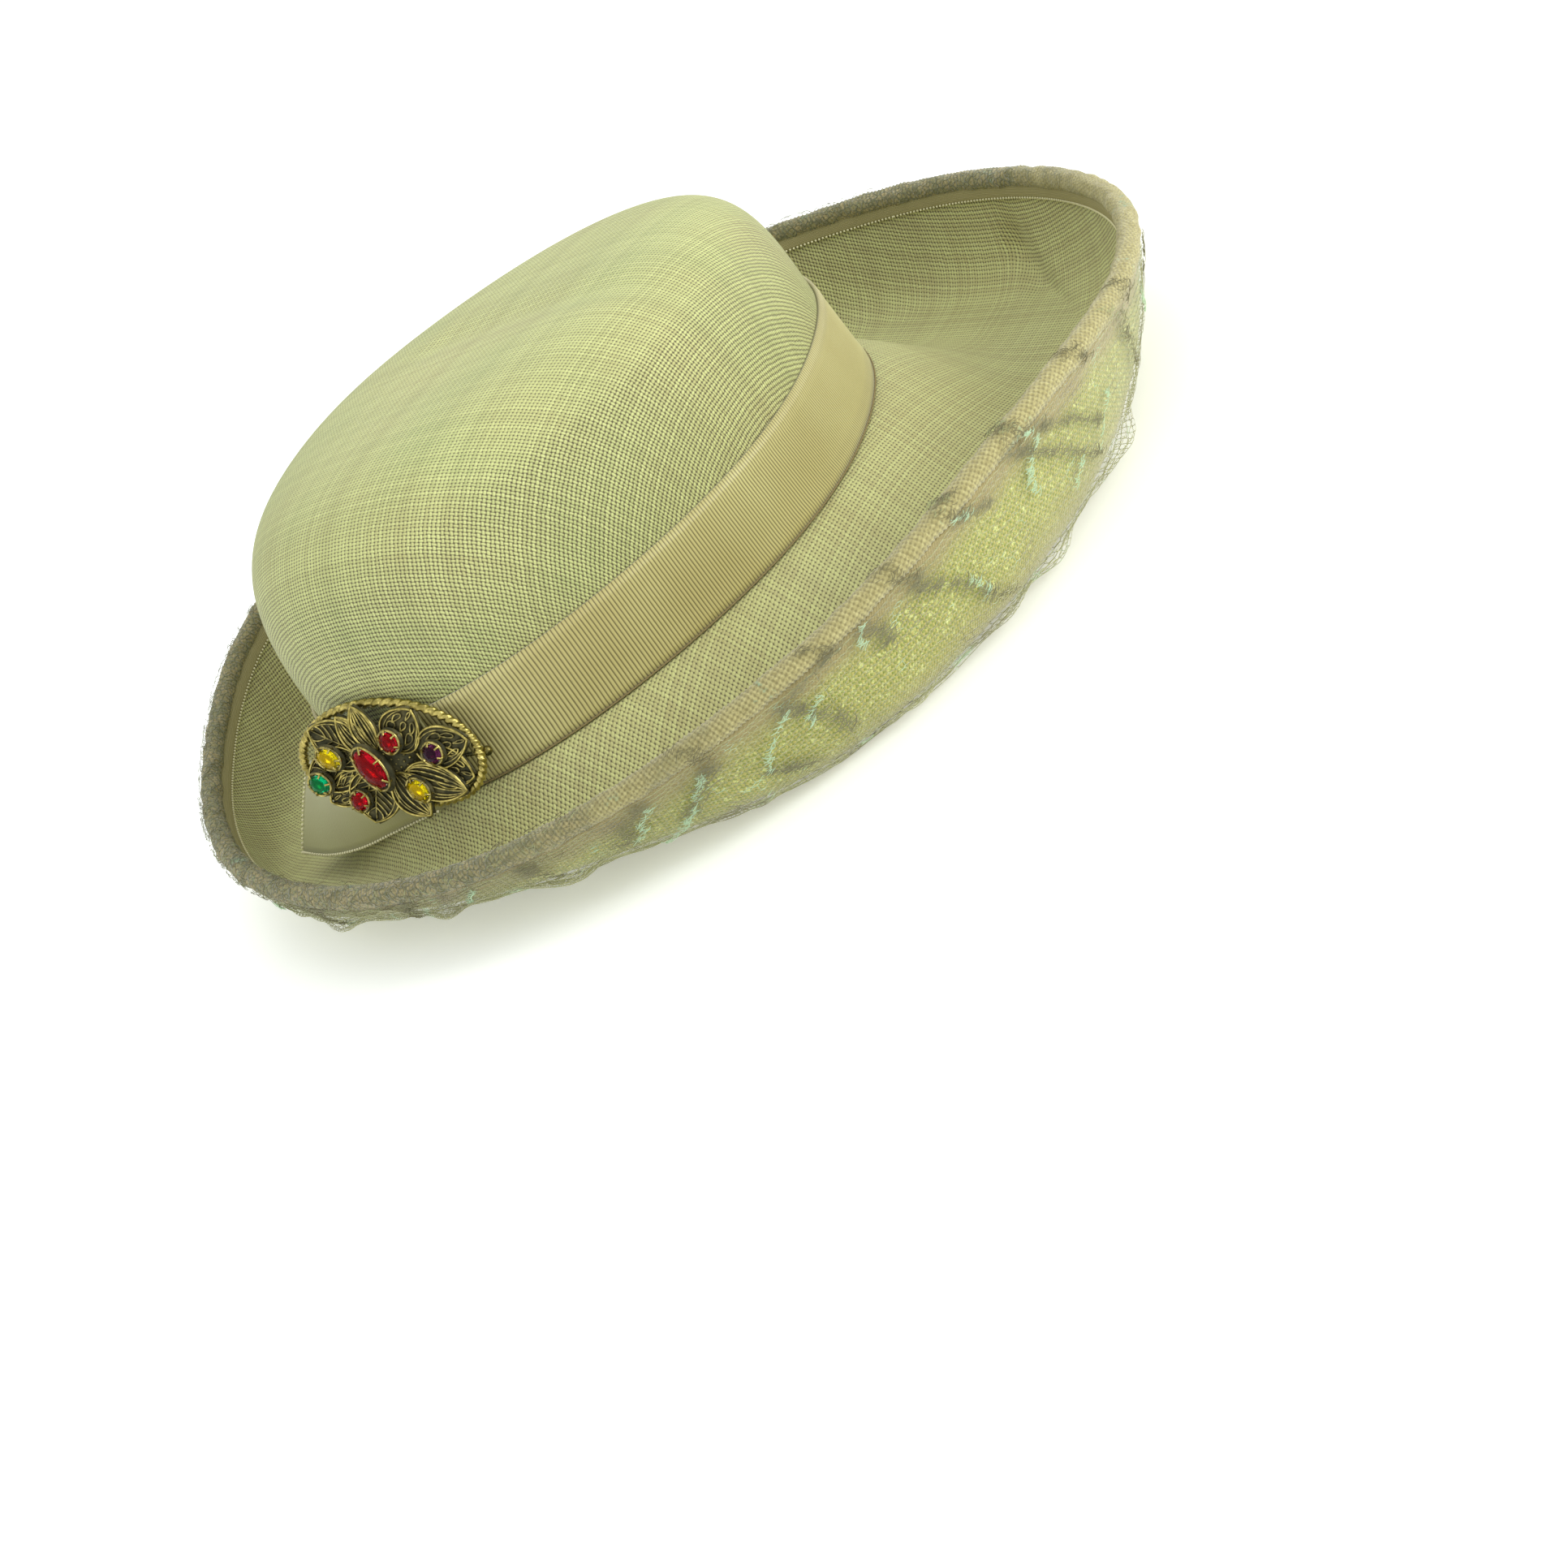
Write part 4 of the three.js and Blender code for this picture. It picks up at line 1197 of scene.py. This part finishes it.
def wire_piece(name, lines, radius, material, slot, place, sides=2):
    """Thin round wires along the given lines, turned into one mesh."""
    curve = bpy.data.curves.new(name, "CURVE")
    curve.dimensions = "3D"
    curve.bevel_depth = radius * MM
    curve.bevel_resolution = sides - 1
    curve.use_fill_caps = True
    for line in lines:
        spline = curve.splines.new("POLY")
        spline.points.add(len(line) - 1)
        for point, spot in zip(spline.points, line):
            point.co = (*(place @ spot), 1)
    carrier = bpy.data.objects.new(name, curve)
    bpy.context.scene.collection.objects.link(carrier)
    bm = bmesh.new()
    bm.from_mesh(carrier.to_mesh())
    carrier.to_mesh_clear()
    bpy.data.objects.remove(carrier)
    bpy.data.curves.remove(curve)
    return new_piece(name, bm, material)


def leaf_line(leaf, start, end, lift):
    """A line on a leaf between two places, each given as share and across."""
    steps = [step / LINE_STEPS for step in range(LINE_STEPS + 1)]
    (share, across), (far_share, far_across) = start, end
    return [
        leaf_spot(leaf, share + (far_share - share) * s, across + (far_across - across) * s, lift)
        for s in steps
    ]


def loop_line(leaf, share, across, size):
    """A drop-shaped loop of wire with its point towards the leaf's root."""
    line = []
    for step in range(LINE_STEPS + 1):
        turn = 2 * math.pi * step / LINE_STEPS
        drop = math.sin(turn) * math.sin(turn / 2) ** LOOP_SHARPNESS
        line.append(leaf_spot(leaf, share - size * math.cos(turn), across + size * 2 * drop, LOOP_LIFT))
    return line


edge_lines = []
inner_lines = []
fine_lines = []
plates = bmesh.new()
for leaf in LEAVES:
    segments, rows = PLATE_GRID
    plate = bmesh.ops.create_grid(plates, x_segments=segments, y_segments=rows, size=0.5)["verts"]
    for vert in plate:
        share = min(max(vert.co.x + 0.5, PLATE_INSET), 1 - PLATE_INSET)
        vert.co = leaf_spot(leaf, share, vert.co.y * 2)
    start, end, edge, lift = INNER_EDGE
    for side in (-1, 1):
        edge_lines.append(leaf_line(leaf, (PLATE_INSET, side), (1, side), EDGE_LIFT))
        inner_lines.append(leaf_line(leaf, (start, side * edge), (end, side * edge), lift))
    if leaf.kind == "veined":
        start, end, lift = MIDRIB
        inner_lines.append(leaf_line(leaf, (start, 0), (end, 0), lift))
        run, edge, lift = VEIN_RUN
        for vein in range(VEINS):
            share = VEIN_START + VEIN_SPAN * vein / VEINS
            for side in (-1, 1):
                fine_lines.append(leaf_line(leaf, (share, 0), (share + run, side * edge), lift))
    elif leaf.kind == "folded":
        start, end = FOLD_ENDS
        middle, drop = FOLD_LIFT
        for fold in FOLDS:
            inner_lines.append(leaf_line(leaf, (start, fold), (end, fold), middle - drop * abs(fold)))
    else:
        fine_lines += [loop_line(leaf, *loop) for loop in LOOPS]
bmesh.ops.recalc_face_normals(plates, faces=plates.faces)
for face in plates.faces:
    if face.normal.z < 0:
        face.normal_flip()
bmesh.ops.transform(plates, matrix=brooch_place, verts=plates.verts)
thicken(new_piece("brooch_leaf_plates", plates, dark_brass), PLATE_THICKNESS)
brooch_wire = dict(slot="antique_brass", place=brooch_place)
wire_piece("brooch_leaf_edges", edge_lines, EDGE_WIRE, bright_brass, sides=3, **brooch_wire)
wire_piece("brooch_leaf_wires", inner_lines, INNER_WIRE, old_brass, **brooch_wire)
wire_piece("brooch_fine_wires", fine_lines, FINE_WIRE, old_brass, **brooch_wire)

# Hub: a low dome in the brooch's middle, with small grains of brass scattered over it.
HUB_HALF_LENGTH = 9
HUB_HALF_HEIGHT = 6.5
HUB_DOME = 2.4
HUB_GRID = {"u_segments": 40, "v_segments": 20}
GRAINS = 70
GRAIN_RADIUS = 0.34
GRAIN_VARIETY = 0.14
GRAIN_CHANGE = 2.3
GRAIN_SPREAD = 0.9
GOLDEN_TURN = math.radians(137.5)
hub_mesh = bmesh.new()
hub_size = Matrix.Diagonal((HUB_HALF_LENGTH, HUB_HALF_HEIGHT, HUB_DOME, 1))
bmesh.ops.create_uvsphere(hub_mesh, radius=1, matrix=hub_size, **HUB_GRID)
bmesh.ops.transform(hub_mesh, matrix=brooch_place, verts=hub_mesh.verts)
new_piece("brooch_hub", hub_mesh, dark_brass)
grain_mesh = bmesh.new()
for grain in range(GRAINS):
    reach = math.sqrt((grain + 0.5) / GRAINS)
    turn = grain * GOLDEN_TURN
    level = HUB_DOME * math.sqrt(1 - GRAIN_SPREAD * reach * reach)
    spot = (HUB_HALF_LENGTH * reach * math.cos(turn), HUB_HALF_HEIGHT * reach * math.sin(turn), level)
    radius = GRAIN_RADIUS + GRAIN_VARIETY * math.sin(grain * GRAIN_CHANGE)
    own = brooch_place @ Matrix.Translation(spot)
    bmesh.ops.create_icosphere(grain_mesh, subdivisions=2, radius=radius, matrix=own)
new_piece("brooch_grains", grain_mesh, old_brass)


# Stones: seven cut glass stones in cups with a rim and claws. Each cup has a bright foil floor.
Stone = namedtuple("Stone", "name along up long short turn slot")
STONES = (
    Stone("red_centre", -1.5, 0.1, 5.8, 3.2, -60, "red_glass"),
    Stone("red_upper", 5.3, 5.6, 2.7, 2.5, -60, "red_glass"),
    Stone("red_lower", -9.6, -8.0, 2.4, 2.4, 0, "red_glass"),
    Stone("purple", 17.0, 0.6, 2.6, 2.5, 0, "purple_glass"),
    Stone("yellow_left", -14.5, 4.4, 3.3, 2.4, -35, "yellow_glass"),
    Stone("yellow_right", 9.5, -7.9, 3.1, 2.3, -48, "yellow_glass"),
    Stone("green", -20.0, -1.7, 2.9, 2.4, -30, "green_glass"),
)
GLASS_COLOURS = {
    "red_glass": (0.50, 0.002, 0.012),
    "purple_glass": (0.12, 0.015, 0.075),
    "yellow_glass": (0.82, 0.66, 0.003),
    "green_glass": (0.0, 0.42, 0.16),
}
GLASS_ROUGHNESS = 0.03
GLASS_BENDING = 1.42
GLASS_CLEARNESS = 0.93
GLASS_SHINE = 0.25
FOIL_COLOUR = (0.6, 0.58, 0.5)
FOIL_ROUGHNESS = 0.16
FOIL_SIZE = 0.98
SEAT_BASE = 2.0
SEAT_RISE = 0.45
SETTING_WALL = 0.7
CUP_FOOT = 0.82
CUP_GAP = 0.1
RIM_WIRE = 0.4
RIM_OUT = 0.45
RIM_DROP = 0.3
RIM_STEPS = 40
CLAW_WIRE = 0.3
CLAW_FOOT = -1.2
CLAW_SHOULDER = 0.3
CLAW_TIP = (0.84, 0.95)
FLAT_ANGLE = math.radians(1)
STONE_DEPTH = 0.75
CLAWS = 6
STONE_RINGS = (
    (8, 0.0, 0.42, 1.0), (8, 0.5, 0.74, 0.86), (16, 0.0, 1.0, 0.52),
    (16, 0.0, 1.0, 0.44), (8, 0.5, 0.62, 0.1), (8, 0.0, 0.3, 0.0),
)


def glass_material(name, colour):
    extra = [
        ("IOR", GLASS_BENDING),
        ("Transmission Weight", GLASS_CLEARNESS),
        ("Specular Tint", (*(GLASS_SHINE + (1 - GLASS_SHINE) * part for part in colour), 1)),
    ]
    return new_material(name, colour, GLASS_ROUGHNESS, extra=extra)[0]


def on_stone(own, turn, size, level):
    return own @ Vector((math.cos(turn) * size, math.sin(turn) * size, level))


CUP_SIDES = 32
FOIL_SIDES = 24
glass = {slot: glass_material(slot, colour) for slot, colour in GLASS_COLOURS.items()}
foil = new_material("stone_foil", FOIL_COLOUR, FOIL_ROUGHNESS, 1.0)[0]
cups = bmesh.new()
foils = bmesh.new()
claw_lines = []
rim_lines = []
for stone in STONES:
    seat = SEAT_BASE + SEAT_RISE * stone.long
    height = stone.short * STONE_DEPTH
    oval = Matrix.Diagonal((stone.long, stone.short, 1, 1))
    turned = Matrix.Rotation(math.radians(stone.turn), 4, "Z") @ oval
    own = Matrix.Translation((stone.along, stone.up, 0)) @ turned
    bm = bmesh.new()
    for count, start, size, level in STONE_RINGS:
        ring = Matrix.Rotation(2 * math.pi * start / count, 4, "Z")
        lift = Matrix.Translation((0, 0, seat + GAP + level * height))
        bmesh.ops.create_circle(bm, segments=count, radius=size, matrix=brooch_place @ own @ lift @ ring)
    hull = bmesh.ops.convex_hull(bm, input=bm.verts)
    bmesh.ops.delete(bm, geom=hull["geom_interior"], context="VERTS")
    bmesh.ops.dissolve_limit(bm, angle_limit=FLAT_ANGLE, verts=bm.verts, edges=bm.edges)
    replaced = [f"stone_{stone.name}"]
    new_piece(f"glass_{stone.name}", bm, glass[stone.slot], replaced, smooth=False)
    cup_height = seat - CUP_GAP
    bmesh.ops.create_cone(
        cups,
        cap_ends=True,
        segments=CUP_SIDES,
        radius1=CUP_FOOT,
        radius2=1 + (GAP + SETTING_WALL) / stone.short,
        depth=cup_height,
        matrix=brooch_place @ own @ Matrix.Translation((0, 0, cup_height / 2)),
    )
    foil_place = brooch_place @ own @ Matrix.Translation((0, 0, seat))
    bmesh.ops.create_circle(foils, cap_ends=True, segments=FOIL_SIDES, radius=FOIL_SIZE, matrix=foil_place)
    girdle = seat + GAP + 0.5 * height
    rim_turns = [2 * math.pi * step / RIM_STEPS for step in range(RIM_STEPS + 1)]
    rim_size = 1 + RIM_OUT / stone.short
    rim_lines.append([on_stone(own, turn, rim_size, girdle - RIM_DROP) for turn in rim_turns])
    for claw in range(CLAWS):
        turn = 2 * math.pi * (claw + 0.5) / CLAWS
        foot = on_stone(own, turn, rim_size, girdle + CLAW_FOOT)
        shoulder = on_stone(own, turn, rim_size, girdle + CLAW_SHOULDER)
        tip = on_stone(own, turn, CLAW_TIP[0], seat + GAP + CLAW_TIP[1] * height)
        claw_lines.append([foot, shoulder, tip])
new_piece("brooch_cups", cups, dark_brass)
new_piece("stone_foils", foils, foil)
wire_piece("brooch_cup_rims", rim_lines, RIM_WIRE, old_brass, **brooch_wire)
wire_piece("brooch_claws", claw_lines, CLAW_WIRE, bright_brass, sides=3, **brooch_wire)


# Pin: a straight bar behind the brooch, which ends past the ring in two small balls.
PIN_RADIUS = 0.6
PIN_LEVEL = -2.0
PIN_REACH = 29.0
PIN_HEIGHT = -2.6
PIN_FOOT = -25.9
PIN_SIDES = 16
PIN_BALLS = ((0.0, 1.35), (-2.4, 1.0))
BALL_GRID = {"u_segments": 24, "v_segments": 14}
pin_mesh = bmesh.new()
pin_middle = Matrix.Translation(((PIN_REACH + PIN_FOOT) / 2, PIN_HEIGHT, PIN_LEVEL))
bmesh.ops.create_cone(
    pin_mesh,
    cap_ends=True,
    segments=PIN_SIDES,
    radius1=PIN_RADIUS,
    radius2=PIN_RADIUS,
    depth=PIN_REACH - PIN_FOOT,
    matrix=brooch_place @ (pin_middle @ Matrix.Rotation(math.pi / 2, 4, "Y")),
)
for inset, radius in PIN_BALLS:
    ball_place = brooch_place @ Matrix.Translation((PIN_REACH + inset, PIN_HEIGHT, PIN_LEVEL))
    bmesh.ops.create_uvsphere(pin_mesh, radius=radius, matrix=ball_place, **BALL_GRID)
pin_brass = brass_material("pin_brass", BRASS_DARK, BRASS_WORN, PIN_FINISH)
new_piece("pin_with_balls", pin_mesh, pin_brass, ["brooch_pin"])


# Gathers: places on the brim's outer wall where the net is drawn together in a dark, fuzzy band,
# small mint green tufts of loose thread, and fuzz on the rolled edge. Each runs from one place to
# another, given as angle and distance from the rim, which is below zero further round the roll.
Gather = namedtuple("Gather", "angle from_rim far_angle far_from_rim width fibres")
DARK_GATHERS = (
    (270, 1.5, 280, 20, 1.5, 92), (266, 1, 279, 28, 1.9, 130), (251.5, 2, 261, 33, 1.9, 130),
    (258.5, 1, 262, 7, 1.0, 38), (245.5, 3, 247.5, 12, 1.5, 50), (236, 4, 240.5, 23, 1.8, 92),
    (231, 17, 236, 24, 1.4, 56), (227, 5, 223, 15, 1.6, 68), (219, 3, 215, 13, 1.3, 50),
    (243, 1, 237, 4, 1.0, 38), (288, 2, 292, 22, 1.5, 68), (306, 2, 311, 24, 1.5, 68),
    (325, 2, 321, 22, 1.5, 68), (344, 2, 349, 24, 1.5, 68), (4, 2, 0, 24, 1.5, 68),
    (24, 2, 29, 22, 1.5, 68), (43, 2, 39, 22, 1.5, 68), (62, 2, 66, 20, 1.5, 68), (84, 2, 88, 24, 1.5, 68),
    (106, 2, 101, 20, 1.5, 68), (127, 2, 131, 18, 1.5, 68), (148, 2, 145, 14, 1.5, 56),
    (166, 1, 170, 11, 1.5, 56), (186, 1, 184, 10, 1.5, 56), (203, 1, 206, 11, 1.5, 56),
)
MINT_TUFTS = (
    (269.5, 5, 266.5, 13, 0.8, 34), (267.5, 10, 268, 17, 0.6, 26), (275.5, 22, 272.5, 27, 0.6, 24),
    (282, 15, 279, 27, 0.6, 24), (258, 0.5, 260, 4, 0.7, 22), (268.5, 0.5, 270, 2.5, 0.7, 20),
    (257, 17, 258.5, 24, 0.7, 24), (235.5, 6, 231.5, 17, 1.0, 44), (239, 9, 237.5, 14, 0.7, 24),
    (226, 6, 223, 14, 1.0, 44), (223, 14, 219, 20, 1.1, 50), (219.5, 5, 216.5, 13, 0.9, 38),
    (246, 2, 244.5, 7, 0.6, 22), (297, 8, 299, 16, 0.7, 30), (315, 6, 312, 14, 0.7, 30),
    (350, 8, 353, 18, 0.7, 30), (15, 8, 12, 18, 0.7, 30), (52, 6, 54, 15, 0.7, 30),
    (92, 7, 90, 16, 0.7, 30), (118, 6, 120, 14, 0.7, 30), (157, 4, 155, 9, 0.7, 26),
    (196, 3, 194, 8, 0.7, 26),
)
FUZZ_STEP = 8
FUZZY_TURNS = range(4, 212, FUZZ_STEP)
GREY_FUZZ = [(turn, 1, turn + FUZZ_STEP, -7, 6, 34) for turn in FUZZY_TURNS]
GREY_FUZZ += [
    (249, -7, 251, 2, 1.6, 34), (258, -7, 258.5, 1, 1.8, 40), (267.5, -8, 268, 1, 2.0, 44),
    (278, -6, 280, 2, 2.4, 40), (291, -6, 291, 2, 2.4, 40), (240, -5, 242, 2, 1.4, 26),
    (225, -6, 227, 2, 2.0, 34),
]
PALE_FUZZ = [(turn, 2, turn + FUZZ_STEP, -8, 6, 22) for turn in FUZZY_TURNS]
PALE_FUZZ += [(258, -8, 258, -3, 1.0, 18), (267, -8.5, 267.5, -3, 1.2, 22), (285, -4, 288, 2, 2.0, 20)]
FibreKind = namedtuple("FibreKind", "piece material colour roughness rows seed length spread radius")
FIBRE_KINDS = (
    FibreKind("dark_gathers", "dark_fibres", (0.25, 0.24, 0.14), 0.9, DARK_GATHERS, 1, 4.4, 2.0, 0.07),
    FibreKind("mint_tufts", "mint_fibres", (0.52, 0.68, 0.46), 0.85, MINT_TUFTS, 2, 2.6, 0.9, 0.08),
    FibreKind("grey_fuzz", "grey_fibres", (0.17, 0.155, 0.08), 0.9, GREY_FUZZ, 3, 3.2, 2.2, 0.07),
    FibreKind("pale_fuzz", "pale_fibres", (0.34, 0.37, 0.19), 0.9, PALE_FUZZ, 4, 2.6, 2.2, 0.06),
)
FIBRE_OFFSET = 3.3
FIBRE_STEPS = 5
FIBRE_BEND = 2.2
FIBRE_DRIFT = 1.2
FIBRE_LIFT = (0.5, 0.25)
FIBRE_LENGTH = (0.5, 0.6)
FIBRE_HEADING = (0.25, 0.5, 0.15)
CHANCE_STEPS = (7.3, 1.7, 0.5)
SECOND_STEPS = (3.1, 2.9, 9.5)
DRIFT_STEPS = (5.1, 3)
ROLL_REST = 0.15
ROLL_LIMIT = -9.5


def wall_spot(angle, from_rim, offset):
    """A place on the brim's outer wall or, at a distance below zero, further round the rolled edge."""
    _, up, wall = brim_curves(angle)
    point, normal = bezier(up, 1 - max(from_rim, 0) / wall)
    onward = Vector((normal.y, -normal.x))
    turn = max(-from_rim, 0) / ROLL_RADIUS
    out = onward * math.sin(turn) - normal * math.cos(turn)
    near_roll = min(max(0, 1 - from_rim / ROLL_RADIUS), 1)
    spot = point + out * (offset + ROLL_REST * near_roll)
    return angle, spot.x, max(spot.y, REST_LEVEL + NET_OUTSIDE)


def random_parts(steps, number, seed, fibre):
    """Three evenly spread numbers from 0 to 1, always the same for the same fibre."""
    return noise.cell_vector(Vector((number * steps[0] + seed, fibre * steps[1], steps[2])))


def fibre_lines(kind):
    """Short, bent fibres scattered round each gather's line, as places on the hat."""
    lines = []
    for number, row in enumerate(kind.rows):
        gather = Gather(*row)
        for fibre in range(gather.fibres):
            chance = random_parts(CHANCE_STEPS, number, kind.seed, fibre)
            second = random_parts(SECOND_STEPS, number, kind.seed, fibre)
            share = chance.x
            drift = noise.noise_vector(Vector((number * DRIFT_STEPS[0], share * DRIFT_STEPS[1], kind.seed)))
            angle = gather.angle + (gather.far_angle - gather.angle) * share + FIBRE_DRIFT * drift.x
            from_rim = gather.from_rim + (gather.far_from_rim - gather.from_rim) * share
            spread = (chance.y + second.x - 1) * gather.width * kind.spread
            base, part, sway = FIBRE_HEADING
            heading = math.pi * (base + part * chance.z + sway * drift.y)
            bend = (second.y - 0.5) * FIBRE_BEND
            line = []
            for step in range(FIBRE_STEPS):
                reach = kind.length * (FIBRE_LENGTH[0] + FIBRE_LENGTH[1] * second.z)
                reach *= step / (FIBRE_STEPS - 1) - 0.5
                way = heading + bend * step / FIBRE_STEPS
                turn = math.degrees((spread + reach * math.sin(way)) / brim_value("reach", angle))
                depth = max(ROLL_LIMIT, from_rim + spread * 0.5 + reach * math.cos(way))
                arch = FIBRE_LIFT[1] * math.sin(math.pi * step / (FIBRE_STEPS - 1))
                lift = FIBRE_OFFSET + FIBRE_LIFT[0] * chance.z + arch
                place = point_at(*wall_spot(angle + turn, depth, lift))
                line.append((place - head_middle) / MM)
            lines.append(line)
    return lines


hat_place = Matrix.Translation(head_middle) @ Matrix.Scale(MM, 4)
for kind in FIBRE_KINDS:
    fibre = new_material(kind.material, kind.colour, kind.roughness)[0]
    wire_piece(kind.piece, fibre_lines(kind), kind.radius, fibre, "tulle", hat_place, 1)
